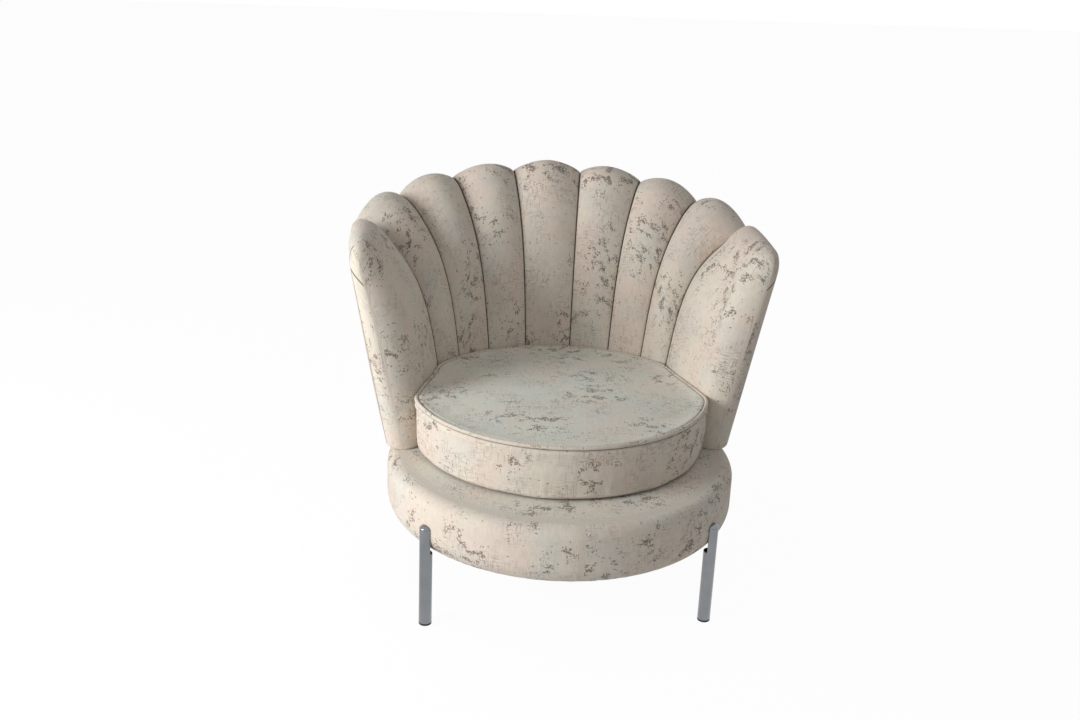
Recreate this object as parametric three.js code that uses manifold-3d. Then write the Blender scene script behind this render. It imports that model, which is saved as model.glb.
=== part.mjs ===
// Scallop back lounge chair: a round upholstered drum on four half-notched tube legs, a loose-built
// seat cushion with a piped edge, and a tub back of nine stuffed channels whose tops form a scallop.
// Millimetres, +Z up. The front of the chair faces -Y. The azimuth of a section is measured from the
// middle of the back (+Y), positive towards +X.
import * as THREE from "three";
import { mergeVertices } from "three/addons/utils/BufferGeometryUtils.js";
import Module from "manifold-3d";

const wasm = await Module();
wasm.setup();

const degrees = Math.PI / 180;

// Fits
const fitGap = 0.3;
const cutOverrun = 10;
const weldDistance = 0.03;

// Legs: round tube, its inner half notched away where it carries the drum
const legDiameter = 25;
const legWall = 2;
const legAzimuth = 51.4 * degrees;
const legLedgeHeight = 153;
const legTongueTop = 205;
const footRimThickness = 4;
const footRimRound = 1.2;
const footPlugLength = 18;
const capDomeHeight = 6;
const capStemLength = 42;

// Machine screws of the legs and of the back
const boltDiameter = 6;
const boltHeadDiameter = 12;
const boltHeadHeight = 4;
const boltSocketWidth = 5;
const boltSocketDepth = 2.4;
const legBoltHeight = 196;
const legBoltGrip = 9;
const shellBoltInset = 20;
const shellBoltGrip = 20;
const shellBoltAzimuths = [-62, -22, 22, 62].map((a) => a * degrees);

// Drum: bent plywood hoop between a bottom board and a top ring, under a padded cover
const drumRadius = 350;
const drumBottom = 143;
const deckTop = 267.5;
const drumBottomRound = 48;
const drumTopRound = 24;
const drumSidePad = 10;
const deckPad = 16;
const deckSeamRadius = 285;
const hoopWall = 8;
const boardRise = 27;
const boardThickness = 15;
const ringThickness = 15;
const ringWidth = 75;
const ventDiameter = 40;
const ventCircleRadius = 190;
const blockWidth = 60;
const blockDepth = 40;
const webThickness = 1.5;
const webWidth = 55;
const webPitch = 120;
const webRampLength = 30;
const webEndMargin = 5;
const dustCoverThickness = 1.5;

// Back and arms: moulded shell on a rail, stuffed channels inside and over the rim, plain outer cover
const channelSeamAzimuths = [8.7, 24, 38, 50].map((a) => a * degrees);
const shellEndAzimuth = 84 * degrees;
const armTipAzimuth = 90 * degrees;
const armCrestAzimuth = 68 * degrees;
const seatRadius = 305;
const rimRadius = 390;
const rimShift = 85;
const fanAngle = 6 * degrees;
const sideDrawShare = 0.03;
const innerPad = 12;
const shellThickness = 9;
const shellRimPad = 34;
const railWidth = 22;
const railHeight = 30;
const railClearance = 0.9;
const valleyTopBack = 742;
const valleyDrop = 90;
const crestTopBack = 765;
const crestDrop = 70;
const armTop = 693;
const backCrown = 12;
const lowCrown = 2;
const armCrown = 22;
const armCrownFadeShare = 0.65;
const rollRise = 16;
const rollRiseCorner = 25;
const closingSeamDrop = 52;
const closingGap = 0.5;
const baseThickness = 50;
const rimThickness = 34;
const rimCorner = 70;
const coverThickness = 6;
const rollReach = 46;
const rollReachCorner = 40;
const armTipDrop = 45;
const armTipFlatShare = 0.3;
const ribThickness = 12;
const ribClearance = 0.6;
const ribTopGap = 5;
const armRibShare = 0.375;

// Seat cushion: foam core in a cover of a top, a side band and a bottom, with piping round the top edge
const seatEdgeHeight = 377;
const seatCrown = 17;
const seatSideGap = 2;
const seatFrontShift = 62;
const seatDrawIn = 2;
const seatSideBulge = 4;
const seatEdgeRound = 9;
const coverSheet = 2.5;
const weltDiameter = 7;
const weltProud = 1;
const zipLength = 420;
const zipWidth = 9;
const zipThickness = 1.6;

// Shares of the height of a channel's face, and counts of facets
const faceHeightShares = [0, 0.2, 0.37, 0.52, 0.66, 0.78, 0.89, 1];
const shellHeightShares = [0, 0.35, 0.62, 0.83, 1];
const seatDomeShares = [1, 0.86, 0.5];
const seatDomePower = 2.2;
const bandHeightShares = [0.45, 0.8];
const flareLinearShare = 0.5;
const flarePower = 5;
const crestPower = 1.6;
const fanSpreadPower = 8;
const fanRisePower = 6;
const armFullnessPower = 2.4;
const crownSwellShares = [0.2, 0.5];
const channelSteps = 8;
const shellSteps = 4;
const rollSteps = 5;
const armTipSteps = 4;
const weltSides = 6;
const drumSteps = 56;
const drumBottomRoundSteps = 5;
const drumTopRoundSteps = 3;
const seatRearSteps = 12;
const seatFrontSteps = 12;
const boltSteps = 12;
const socketSides = 6;
const legSteps = 20;

// Places that follow from the sizes above
const legAxisRadius = drumRadius + fitGap;
const legRadius = legDiameter / 2;
const legBore = legRadius - legWall;
const boltRadius = boltDiameter / 2;
const boltHole = boltRadius + fitGap;
const hoopOuter = drumRadius - drumSidePad - fitGap;
const hoopInner = hoopOuter - hoopWall;
const coverMouth = drumRadius - drumBottomRound;
const boardBottom = drumBottom + boardRise;
const boardTop = boardBottom + boardThickness;
const deckUnderside = deckTop - deckPad;
const ringTop = deckUnderside - 2 * webThickness - 3 * fitGap;
const ringBottom = ringTop - ringThickness;
const ringInner = hoopOuter - ringWidth;
const shellFoot = deckTop + fitGap;
const railTop = shellFoot + railHeight;
const seatBottom = deckTop + fitGap;
const weltRadius = weltDiameter / 2;
const shellBoltRadius = seatRadius + shellBoltInset;
const outerBaseRadius = seatRadius + baseThickness;
const outerRimRadius = rimRadius + rimThickness;
const seatFrontRadius = seatRadius - seatSideGap;

// Solids
function solidOf(geometry) {
  const bare = geometry.clone();
  bare.deleteAttribute("normal");
  bare.deleteAttribute("uv");
  const merged = mergeVertices(bare, fitGap / 1000);
  const place = merged.getAttribute("position").array;
  const corners = new Uint32Array(merged.index.array);
  return new wasm.Manifold(new wasm.Mesh({ numProp: 3, vertProperties: place, triVerts: corners }));
}

function geometryOf(solid) {
  const mesh = solid.getMesh();
  const points = Array.from({ length: mesh.numVert }, (_, i) => {
    return new THREE.Vector3().fromArray(mesh.vertProperties, i * mesh.numProp);
  });
  const triangles = Array.from({ length: mesh.numTri }, (_, i) => {
    return [...mesh.triVerts.slice(3 * i, 3 * i + 3)];
  });
  const geometry = new THREE.BufferGeometry().setFromPoints(points);
  geometry.setIndex(thickened(points, welded(points, triangles), weldDistance).flat());
  geometry.computeVertexNormals();
  return geometry;
}

// How thin a triangle is: its height over its longest side
function thinness({ a, b, c }) {
  const longest = Math.max(a.distanceTo(b), b.distanceTo(c), c.distanceTo(a));
  return (2 * new THREE.Triangle(a, b, c).getArea()) / longest;
}

// Turns the longest edge of each triangle thinner than a limit, where both new ones are thicker and
// face the way of its neighbour
function thickened(points, triangles, limit) {
  const edgeKey = (a, b) => a * points.length + b;
  const owner = new Map();
  const own = (t) => triangles[t].forEach((a, k) => owner.set(edgeKey(a, triangles[t][(k + 1) % 3]), t));
  triangles.forEach((_, t) => own(t));
  const shapeOf = ([a, b, c]) => new THREE.Triangle(points[a], points[b], points[c]);
  const facingOf = (corners) => shapeOf(corners).getNormal(new THREE.Vector3());
  const turnEdge = (t) => {
    const thin = thinness(shapeOf(triangles[t]));
    if (thin >= limit) return false;
    const sides = triangles[t].map((a, k) => points[a].distanceTo(points[triangles[t][(k + 1) % 3]]));
    const k = sides.indexOf(Math.max(...sides));
    const [a, b, c] = [0, 1, 2].map((turn) => triangles[t][(k + turn) % 3]);
    const other = owner.get(edgeKey(b, a));
    if (other === undefined) return false;
    const facing = facingOf(triangles[other]);
    const d = triangles[other].find((corner) => corner !== a && corner !== b);
    if (owner.has(edgeKey(c, d)) || owner.has(edgeKey(d, c))) return false;
    const made = [[a, d, c], [d, b, c]];
    if (made.some((corners) => thinness(shapeOf(corners)) <= thin)) return false;
    if (made.some((corners) => facingOf(corners).dot(facing) <= 0)) return false;
    owner.delete(edgeKey(a, b));
    owner.delete(edgeKey(b, a));
    [triangles[t], triangles[other]] = made;
    own(t);
    own(other);
    return true;
  };
  while (triangles.filter((_, t) => turnEdge(t)).length > 0);
  return triangles;
}

// Makes the ends of every edge shorter than the weld distance one corner, and drops what that closes up
function welded(points, triangles) {
  const leader = points.map((_, i) => i);
  const leaderOf = (i) => (leader[i] === i ? i : leaderOf(leader[i]));
  for (const corners of triangles) {
    corners.forEach((a, k) => {
      const ends = [leaderOf(a), leaderOf(corners[(k + 1) % 3])];
      if (points[ends[0]].distanceTo(points[ends[1]]) >= weldDistance) return;
      leader[Math.max(...ends)] = Math.min(...ends);
    });
  }
  const joined = triangles.map((corners) => corners.map(leaderOf));
  return joined.filter(([a, b, c]) => a !== b && b !== c && c !== a);
}

function cut(geometry, ...tools) {
  return geometryOf(tools.reduce((left, tool) => left.subtract(solidOf(tool)), solidOf(geometry)));
}

function common(geometry, other) {
  return geometryOf(solidOf(geometry).intersect(solidOf(other)));
}

function join(geometry, ...others) {
  return geometryOf(others.reduce((sum, other) => sum.add(solidOf(other)), solidOf(geometry)));
}

// A closed surface from points and triangles, turned to face outwards
function closedSurface(points, triangles) {
  let sixVolumes = 0;
  for (const [a, b, c] of triangles) {
    sixVolumes += points[a].dot(new THREE.Vector3().crossVectors(points[b], points[c]));
  }
  const corners = sixVolumes < 0 ? triangles.map(([a, b, c]) => [a, c, b]) : triangles;
  const geometry = new THREE.BufferGeometry().setFromPoints(points);
  geometry.setIndex(corners.flat());
  geometry.computeVertexNormals();
  return geometry;
}

function polar(radius, azimuth, height) {
  return new THREE.Vector3(radius * Math.sin(azimuth), radius * Math.cos(azimuth), height);
}

// A loft through sections {azimuth, outline}, whose outlines are (radius, height) loops of equal count
function loftAround(sections) {
  const count = sections[0].outline.length;
  const points = sections.flatMap(({ azimuth, outline }) => {
    return outline.map((p) => polar(p.x, fanned(azimuth, p.y), p.y));
  });
  const triangles = [];
  for (let s = 0; s + 1 < sections.length; s++) {
    for (let i = 0; i < count; i++) {
      const a = s * count + i;
      const b = s * count + ((i + 1) % count);
      triangles.push([a, b, b + count], [a, b + count, a + count]);
    }
  }
  const last = (sections.length - 1) * count;
  triangles.push(...capTriangles(sections[0].outline).map(([a, b, c]) => [a, c, b]));
  triangles.push(...capTriangles(sections.at(-1).outline).map((corners) => corners.map((i) => i + last)));
  return closedSurface(points, triangles);
}

// The triangles that fill an outline, none thinner than it has to be, in the winding of its points
function capTriangles(outline) {
  const points = outline.map((p) => new THREE.Vector3(p.x, p.y, 0));
  const follows = ([a, b, c]) => {
    const area = THREE.ShapeUtils.area([outline[a], outline[b], outline[c]]);
    return area > 0 === THREE.ShapeUtils.area(outline) > 0;
  };
  const filled = THREE.ShapeUtils.triangulateShape(outline, []);
  const alike = filled.map(([a, b, c]) => (follows([a, b, c]) ? [a, b, c] : [a, c, b]));
  return thickened(points, alike, Infinity);
}

// A closed surface through rings of points, each ring all the way round, closed by a point at each end
function loftRings(rings, startPoint, endPoint) {
  const count = rings[0].length;
  const points = [...rings.flat(), startPoint, endPoint];
  const start = rings.length * count;
  const triangles = [];
  for (let i = 0; i < count; i++) {
    const j = (i + 1) % count;
    for (let r = 0; r + 1 < rings.length; r++) {
      const row = r * count;
      triangles.push([row + i, row + j, row + count + j], [row + i, row + count + j, row + count + i]);
    }
    const last = (rings.length - 1) * count;
    triangles.push([start, j, i], [start + 1, last + i, last + j]);
  }
  return closedSurface(points, triangles);
}

// A closed surface through rings of points where the last ring meets the first, as in a hoop. Every
// face is divided the same way on the way up and down, so that nested surfaces stay parallel.
function loftHoop(rings) {
  const count = rings[0].length;
  const points = rings.flat();
  const triangles = [];
  for (let r = 0; r < rings.length; r++) {
    for (let i = 0; i < count; i++) {
      const j = (i + 1) % count;
      const row = r * count;
      const after = (r + 1) % rings.length;
      const next = after * count;
      if (rings[after][i].z > rings[r][i].z) {
        triangles.push([row + i, row + j, next + j], [row + i, next + j, next + i]);
      } else {
        triangles.push([row + i, row + j, next + i], [row + j, next + j, next + i]);
      }
    }
  }
  return closedSurface(points, triangles);
}

function lathe(profile, steps) {
  const points = profile.map(([radius, height]) => new THREE.Vector2(radius, height));
  return new THREE.LatheGeometry(points, steps).rotateX(Math.PI / 2);
}

function arc(centreRadius, centreHeight, radius, fromAngle, toAngle, steps) {
  return Array.from({ length: steps + 1 }, (_, i) => {
    const angle = fromAngle + ((toAngle - fromAngle) * i) / steps;
    return [centreRadius + radius * Math.cos(angle), centreHeight + radius * Math.sin(angle)];
  });
}

function verticalCylinder(radius, bottom, top, steps = boltSteps) {
  const shape = new THREE.CylinderGeometry(radius, radius, top - bottom, steps);
  return shape.rotateX(Math.PI / 2).translate(0, 0, (bottom + top) / 2);
}

// A cylinder that runs out from the chair's axis, from one radius to another
function radialCylinder(radius, azimuth, height, from, to) {
  const shape = new THREE.CylinderGeometry(radius, radius, to - from, boltSteps);
  return shape.translate(0, (from + to) / 2, 0).rotateZ(-azimuth).translate(0, 0, height);
}

function boxBetween(low, high) {
  const size = new THREE.Vector3().subVectors(high, low);
  const centre = new THREE.Vector3().addVectors(high, low).multiplyScalar(0.5);
  return new THREE.BoxGeometry(size.x, size.y, size.z).translate(centre.x, centre.y, centre.z);
}

// The assembly
const chair = new THREE.Group();
const finishes = {
  fabric: { color: 0xd8cbb9, roughness: 0.85, metalness: 0 },
  plywood: { color: 0xc9a878, roughness: 0.65, metalness: 0 },
  foam: { color: 0xe6dcb0, roughness: 0.9, metalness: 0 },
  webbing: { color: 0x5b4a3c, roughness: 0.9, metalness: 0 },
  dustCloth: { color: 0x1d1d1f, roughness: 0.95, metalness: 0 },
  steel: { color: 0xb9bdc0, roughness: 0.3, metalness: 1 },
  rubber: { color: 0x141414, roughness: 0.7, metalness: 0 },
  zip: { color: 0xb8aa95, roughness: 0.6, metalness: 0 },
};

function addPiece(name, geometry, finish) {
  const piece = new THREE.Mesh(geometry, new THREE.MeshStandardMaterial(finishes[finish]));
  piece.name = name;
  chair.add(piece);
}

// Legs
const legCorners = [
  { place: "front_right", azimuth: Math.PI - legAzimuth },
  { place: "rear_right", azimuth: legAzimuth },
  { place: "rear_left", azimuth: -legAzimuth },
  { place: "front_left", azimuth: legAzimuth - Math.PI },
];

// Turns a piece made with its outer side towards +Y to its place on the leg circle
function placeLeg(geometry, azimuth) {
  return geometry.translate(0, legAxisRadius, 0).rotateZ(-azimuth);
}

// The half space on the drum's side of the leg's axis plane, above a height
function innerHalf(bottom) {
  const reach = legDiameter;
  const low = new THREE.Vector3(-reach, -reach, bottom);
  const high = new THREE.Vector3(reach, 0, legTongueTop + capDomeHeight + cutOverrun);
  return boxBetween(low, high);
}

function legTube() {
  const bottom = footRimThickness + fitGap;
  const outside = verticalCylinder(legRadius, bottom, legTongueTop, legSteps);
  const bore = verticalCylinder(legBore, bottom - cutOverrun, legTongueTop + cutOverrun, legSteps);
  return cut(outside, bore, innerHalf(legLedgeHeight));
}

// Half-round stem inside the tongue, with a domed head that closes its top
function legCap(azimuth) {
  const stemRadius = legBore - fitGap;
  const stemTop = legTongueTop + fitGap;
  const stemEnd = stemTop + capDomeHeight / 2;
  const stem = verticalCylinder(stemRadius, legTongueTop - capStemLength, stemEnd, legSteps);
  const dome = arc(0, 0, 1, 0, Math.PI / 2, rollSteps).map(([r, z]) => [
    r * legRadius,
    stemTop + z * capDomeHeight,
  ]);
  const head = lathe([[0, stemTop], ...dome.slice(0, -1), [0, stemTop + capDomeHeight]], legSteps);
  const whole = cut(join(stem, head), innerHalf(legTongueTop - capStemLength - cutOverrun));
  const hole = radialCylinder(boltHole, 0, legBoltHeight, -cutOverrun, legBoltGrip + fitGap);
  return placeLeg(cut(whole, hole), azimuth);
}

function footCap() {
  const plugRadius = legBore - fitGap;
  const plugTop = footRimThickness + footPlugLength;
  return lathe(
    [
      [0, 0],
      [legRadius - footRimRound, 0],
      [legRadius, footRimRound],
      [legRadius, footRimThickness],
      [plugRadius, footRimThickness],
      [plugRadius, plugTop],
      [0, plugTop],
    ],
    legSteps,
  );
}

// A socket screw along +Z with its head at the bottom
function bolt(length) {
  const shank = verticalCylinder(boltRadius, -boltHeadHeight / 4, length);
  const head = verticalCylinder(boltHeadDiameter / 2, -boltHeadHeight, 0);
  const socketRadius = boltSocketWidth / 2;
  const socketTop = boltSocketDepth - boltHeadHeight;
  const socket = verticalCylinder(socketRadius, -boltHeadHeight - cutOverrun, socketTop, socketSides);
  return cut(join(shank, head), socket);
}

const blockInner = hoopInner - fitGap - blockDepth;

function legBolt(azimuth) {
  const headFace = blockInner - fitGap;
  const length = legAxisRadius + legBoltGrip - headFace;
  return bolt(length).rotateX(-Math.PI / 2).translate(0, headFace, legBoltHeight).rotateZ(-azimuth);
}

for (const { place, azimuth } of legCorners) {
  addPiece(`leg_${place}`, placeLeg(legTube(), azimuth), "steel");
  addPiece(`leg_cap_${place}`, legCap(azimuth), "steel");
  addPiece(`foot_cap_${place}`, placeLeg(footCap(), azimuth), "rubber");
  addPiece(`leg_bolt_${place}`, legBolt(azimuth), "steel");
}

// Drum
function legBoltHoles() {
  const to = legAxisRadius + cutOverrun;
  return legCorners.map(({ azimuth }) => radialCylinder(boltHole, azimuth, legBoltHeight, blockInner, to));
}

function shellBoltHoles(bottom, top) {
  return shellBoltAzimuths.map((azimuth) => {
    const centre = polar(shellBoltRadius, azimuth, 0);
    return verticalCylinder(boltHole, bottom, top).translate(centre.x, centre.y, 0);
  });
}

function baseBoard() {
  const disc = verticalCylinder(hoopInner - fitGap, boardBottom, boardTop, drumSteps);
  const vents = legCorners.map(({ azimuth }) => {
    const centre = polar(ventCircleRadius, azimuth + Math.PI / 4, 0);
    const vent = verticalCylinder(ventDiameter / 2, boardBottom - cutOverrun, boardTop + cutOverrun);
    return vent.translate(centre.x, centre.y, 0);
  });
  return cut(disc, ...vents);
}

function tubeRing(inner, outer, bottom, top) {
  return lathe(
    [
      [inner, bottom],
      [outer, bottom],
      [outer, top],
      [inner, top],
      [inner, bottom],
    ],
    drumSteps,
  );
}

function drumHoop() {
  return cut(tubeRing(hoopInner, hoopOuter, boardBottom, ringBottom - fitGap), ...legBoltHoles());
}

function drumRing() {
  const holes = shellBoltHoles(ringBottom - cutOverrun, ringTop + cutOverrun);
  return cut(tubeRing(ringInner, hoopOuter, ringBottom, ringTop), ...holes);
}

function legBlock(azimuth) {
  const low = new THREE.Vector3(-blockWidth / 2, blockInner, boardTop + fitGap);
  const high = new THREE.Vector3(blockWidth / 2, hoopInner, ringBottom - fitGap);
  const curve = verticalCylinder(hoopInner - fitGap, boardTop, ringBottom, drumSteps);
  const hole = radialCylinder(boltHole, azimuth, legBoltHeight, blockInner - cutOverrun, hoopInner);
  return cut(common(boxBetween(low, high).rotateZ(-azimuth), curve), hole);
}

function drumCover() {
  const quarter = Math.PI / 2;
  const lowCentre = drumBottom + drumBottomRound;
  const bottomRound = arc(coverMouth, lowCentre, drumBottomRound, -quarter, 0, drumBottomRoundSteps);
  const topCentre = [drumRadius - drumTopRound, deckTop - drumTopRound];
  const topRound = arc(...topCentre, drumTopRound, 0, quarter, drumTopRoundSteps);
  const profile = [
    ...bottomRound,
    ...topRound,
    [deckSeamRadius + fitGap, deckTop],
    [deckSeamRadius + fitGap, deckUnderside],
    [hoopOuter + fitGap, deckUnderside],
    [hoopOuter + fitGap, boardBottom - fitGap],
    [coverMouth, boardBottom - fitGap],
    bottomRound[0],
  ];
  const tools = [...legBoltHoles(), ...shellBoltHoles(deckUnderside - cutOverrun, deckTop + cutOverrun)];
  return cut(lathe(profile, drumSteps), ...tools);
}

function deckPanel() {
  return verticalCylinder(deckSeamRadius, deckUnderside, deckTop, drumSteps);
}

function dustCover() {
  const top = boardBottom - fitGap;
  return verticalCylinder(coverMouth - fitGap, top - dustCoverThickness, top, drumSteps);
}

// Woven straps: each passes over one crossing strap and under the next
const webLow = ringTop + fitGap + webThickness / 2;
const webHigh = webLow + webThickness + fitGap;

function webStrap(offset, lifts) {
  const cornerRadius = shellBoltRadius - boltHole - webEndMargin;
  const reach = Math.sqrt(cornerRadius ** 2 - (Math.abs(offset) + webWidth / 2) ** 2);
  const halfWeb = webWidth / 2 + fitGap;
  const centres = [-webPitch, 0, webPitch];
  const stops = centres.flatMap((centre, i) => {
    const height = lifts[i] ? webHigh : webLow;
    return [
      [centre - halfWeb, height],
      [centre + halfWeb, height],
    ];
  });
  const first = [centres[0] - halfWeb - webRampLength, webLow];
  const last = [centres[2] + halfWeb + webRampLength, webLow];
  const line = [[-reach, webLow], first, ...stops, last, [reach, webLow]];
  const half = webThickness / 2;
  const upper = line.map(([x, z]) => new THREE.Vector2(x, z + half));
  const lower = line.map(([x, z]) => new THREE.Vector2(x, z - half)).reverse();
  const settings = { depth: webWidth, bevelEnabled: false };
  const strap = new THREE.ExtrudeGeometry(new THREE.Shape([...lower, ...upper]), settings);
  return strap.rotateX(Math.PI / 2).translate(0, webWidth / 2 + offset, 0);
}

addPiece("drum_board", baseBoard(), "plywood");
addPiece("drum_hoop", drumHoop(), "plywood");
addPiece("drum_ring", drumRing(), "plywood");
legCorners.forEach(({ place, azimuth }) => addPiece(`leg_block_${place}`, legBlock(azimuth), "plywood"));
addPiece("drum_cover", drumCover(), "fabric");
addPiece("deck_panel", deckPanel(), "fabric");
addPiece("dust_cover", dustCover(), "dustCloth");
for (const row of [-1, 0, 1]) {
  const across = [0, 1, 2].map((i) => (i + row + 1) % 2 === 0);
  const along = across.map((lift) => !lift);
  addPiece(`webbing_across_${row + 2}`, webStrap(row * webPitch, across), "webbing");
  addPiece(`webbing_along_${row + 2}`, webStrap(-row * webPitch, along).rotateZ(Math.PI / 2), "webbing");
}

// Back: heights and radii of the tub, as functions of azimuth and height
const outerSeam = channelSeamAzimuths.at(-1);

// The azimuth of a point of a section: the outer seams fan out a little towards the rim
function fanned(azimuth, height) {
  const turn = Math.abs(azimuth);
  const rimRise = valleyTop(azimuth) - seatEdgeHeight;
  const rise = THREE.MathUtils.clamp((height - seatEdgeHeight) / rimRise, 0, 1);
  const forward = Math.max(0, (armCrestAzimuth - turn) / (armCrestAzimuth - outerSeam));
  const spread = turn < outerSeam ? (turn / outerSeam) ** fanSpreadPower : forward ** 2;
  return azimuth + Math.sign(azimuth) * fanAngle * spread * rise ** fanRisePower;
}

function valleyTop(azimuth) {
  const turn = Math.min(Math.abs(azimuth), outerSeam) / outerSeam;
  return valleyTopBack - valleyDrop * turn ** 2;
}

function crestTop(azimuth) {
  const turn = Math.abs(azimuth) / outerSeam;
  return Math.max(crestTopBack - crestDrop * turn ** crestPower, armTop);
}

// Which channel an azimuth is in, and how full the channel is there: 0 at its seams, 1 at its crest
function fullness(azimuth) {
  const turn = Math.abs(azimuth);
  if (turn >= outerSeam) {
    const side = Math.min(0, (turn - armCrestAzimuth) / (armCrestAzimuth - outerSeam));
    return 1 - Math.abs(side) ** armFullnessPower;
  }
  const edges = [-channelSeamAzimuths[0], ...channelSeamAzimuths];
  const i = edges.findIndex((edge, at) => turn >= edge && turn < edges[at + 1]);
  const across = (2 * (turn - edges[i])) / (edges[i + 1] - edges[i]) - 1;
  return Math.max(0, 1 - across ** 2);
}

function rimTop(azimuth, full) {
  return valleyTop(azimuth) + (crestTop(azimuth) - valleyTop(azimuth)) * full;
}

function flare(share) {
  return flareLinearShare * share + (1 - flareLinearShare) * share ** flarePower;
}

// Distance from the chair's axis to a circle whose centre lies behind it
function shiftedCircle(radius, shift, azimuth) {
  return shift * Math.cos(azimuth) + Math.sqrt(radius ** 2 - (shift * Math.sin(azimuth)) ** 2);
}

function grooveRadius(azimuth, share) {
  const opening = flare(share);
  const draw = 1 - sideDrawShare * (1 - opening) * Math.sin(azimuth) ** 2;
  const radius = (seatRadius + (rimRadius - seatRadius) * opening) * draw;
  return shiftedCircle(radius, rimShift * opening, azimuth);
}

// How far the crest of a channel stands in front of its seams; on an arm it fades towards the front
function crown(azimuth, share, full) {
  const turn = Math.abs(azimuth);
  if (turn >= outerSeam) {
    const forward = Math.max(0, (turn - armCrestAzimuth) / (armTipAzimuth - armCrestAzimuth));
    return armCrown * full * (1 - armCrownFadeShare * forward ** 2);
  }
  const swell = THREE.MathUtils.smoothstep(share, ...crownSwellShares);
  return (lowCrown + (backCrown - lowCrown) * swell) * full;
}

// Zero at the middle of the back and at the arm tips, largest at the corners between them
function cornerShare(azimuth) {
  return Math.cos(azimuth) * Math.sin(2 * azimuth) ** 2;
}

function outerRadius(azimuth, share) {
  const radius = outerBaseRadius + (outerRimRadius - outerBaseRadius) * share;
  return shiftedCircle(radius, rimShift * share, azimuth) + rimCorner * share * cornerShare(azimuth);
}

// The height at which a channel's face ends and its roll over the rim begins
function rollStartHeight(azimuth, full) {
  return rimTop(azimuth, full) - rollRise - rollRiseCorner * cornerShare(azimuth);
}

function closingSeamTop(azimuth, full) {
  return rimTop(azimuth, full) - closingSeamDrop;
}

// The face, the roll over the rim and the outside of a channel, as one outline
function channelOutline(azimuth, full) {
  const rollStart = rollStartHeight(azimuth, full);
  const face = faceHeightShares.map((share) => {
    const radius = grooveRadius(azimuth, share) - crown(azimuth, share, full);
    return new THREE.Vector2(radius, shellFoot + (rollStart - shellFoot) * share);
  });
  const seamTop = closingSeamTop(azimuth, full);
  const start = face.at(-1);
  const end = new THREE.Vector2(outerRadius(azimuth, 1), seamTop);
  const foot = new THREE.Vector2(outerRadius(azimuth, 0), shellFoot);
  const rollHandle = rollReach + rollReachCorner * cornerShare(azimuth);
  const arrive = end.clone().sub(foot).normalize().multiplyScalar(rollHandle);
  const leave = new THREE.Vector2(1, 1).normalize().multiplyScalar(rollHandle);
  const roll = new THREE.CubicBezierCurve(start, start.clone().add(leave), end.clone().add(arrive), end);
  return [...face, ...roll.getPoints(rollSteps).slice(1), foot];
}

// Draws an outline in towards its own middle line, for the rounded front of an arm
function narrowed(outline, share) {
  const foot = (outline[0].x + outline.at(-1).x) / 2;
  const crest = outline.reduce((top, p) => (p.y > top.y ? p : top));
  return outline.map((p) => {
    const rise = (p.y - shellFoot) / (crest.y - shellFoot);
    const middle = foot + (crest.x - foot) * rise;
    const drop = armTipDrop * (1 - share) * rise ** 3;
    return new THREE.Vector2(middle + (p.x - middle) * share, p.y - drop);
  });
}

// The radius and height of the moulded shell's inner face, at a share of the height of its channel
function shellPoint(azimuth, height, offset) {
  const rollStart = rollStartHeight(azimuth, fullness(azimuth));
  const share = (height - shellFoot) / (rollStart - shellFoot);
  return new THREE.Vector2(grooveRadius(azimuth, share) + innerPad + offset, height);
}

function shellTop(azimuth) {
  return rimTop(azimuth, fullness(azimuth)) - shellRimPad;
}

function shellHeights(azimuth) {
  const foot = railTop + fitGap;
  return shellHeightShares.map((share) => foot + (shellTop(azimuth) - foot) * share);
}

// Section of the moulded shell, grown on every side by a gap
function shellOutline(azimuth, gap) {
  const heights = shellHeights(azimuth);
  heights[0] -= gap;
  heights[heights.length - 1] += gap;
  const inner = heights.map((height) => shellPoint(azimuth, height, -gap));
  const outer = heights.map((height) => shellPoint(azimuth, height, shellThickness + gap));
  return [...inner, ...outer.reverse()];
}

// Section of the plain outer cover, a straight line from its foot to the closing seam
function coverOutline(azimuth, gap) {
  const foot = new THREE.Vector2(outerRadius(azimuth, 0), shellFoot);
  const top = new THREE.Vector2(outerRadius(azimuth, 1), closingSeamTop(azimuth, fullness(azimuth)));
  const shifted = (p, offset, rise) => new THREE.Vector2(p.x + offset, p.y + rise);
  return [
    shifted(foot, gap, -gap),
    shifted(top, gap, gap),
    shifted(top, -coverThickness - gap, gap),
    shifted(foot, -coverThickness - gap, -gap),
  ];
}

function railOutline(azimuth) {
  return [
    shellPoint(azimuth, shellFoot, 0),
    shellPoint(azimuth, railTop, 0),
    shellPoint(azimuth, railTop, railWidth),
    shellPoint(azimuth, shellFoot, railWidth),
  ];
}

// What lies under a channel besides the shell: the rail, and everything outside up to the closing seam
function hollowOutline(azimuth) {
  const low = shellFoot - cutOverrun;
  const seam = closingSeamTop(azimuth, fullness(azimuth)) + closingGap;
  const rail = railTop + railClearance;
  const heights = shellHeightShares.map((share) => rail + (seam - rail) * share);
  const rim = outerRadius(azimuth, 1);
  return [
    ...[low, rail].map((height) => shellPoint(azimuth, height, -railClearance)),
    ...heights.map((height) => shellPoint(azimuth, height, shellThickness / 2)),
    new THREE.Vector2(rim - coverThickness - fitGap, seam),
    new THREE.Vector2(rim + fitGap, seam),
    new THREE.Vector2(rim + 2 * cutOverrun, seam),
    new THREE.Vector2(rim + 2 * cutOverrun, low),
  ];
}

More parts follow.
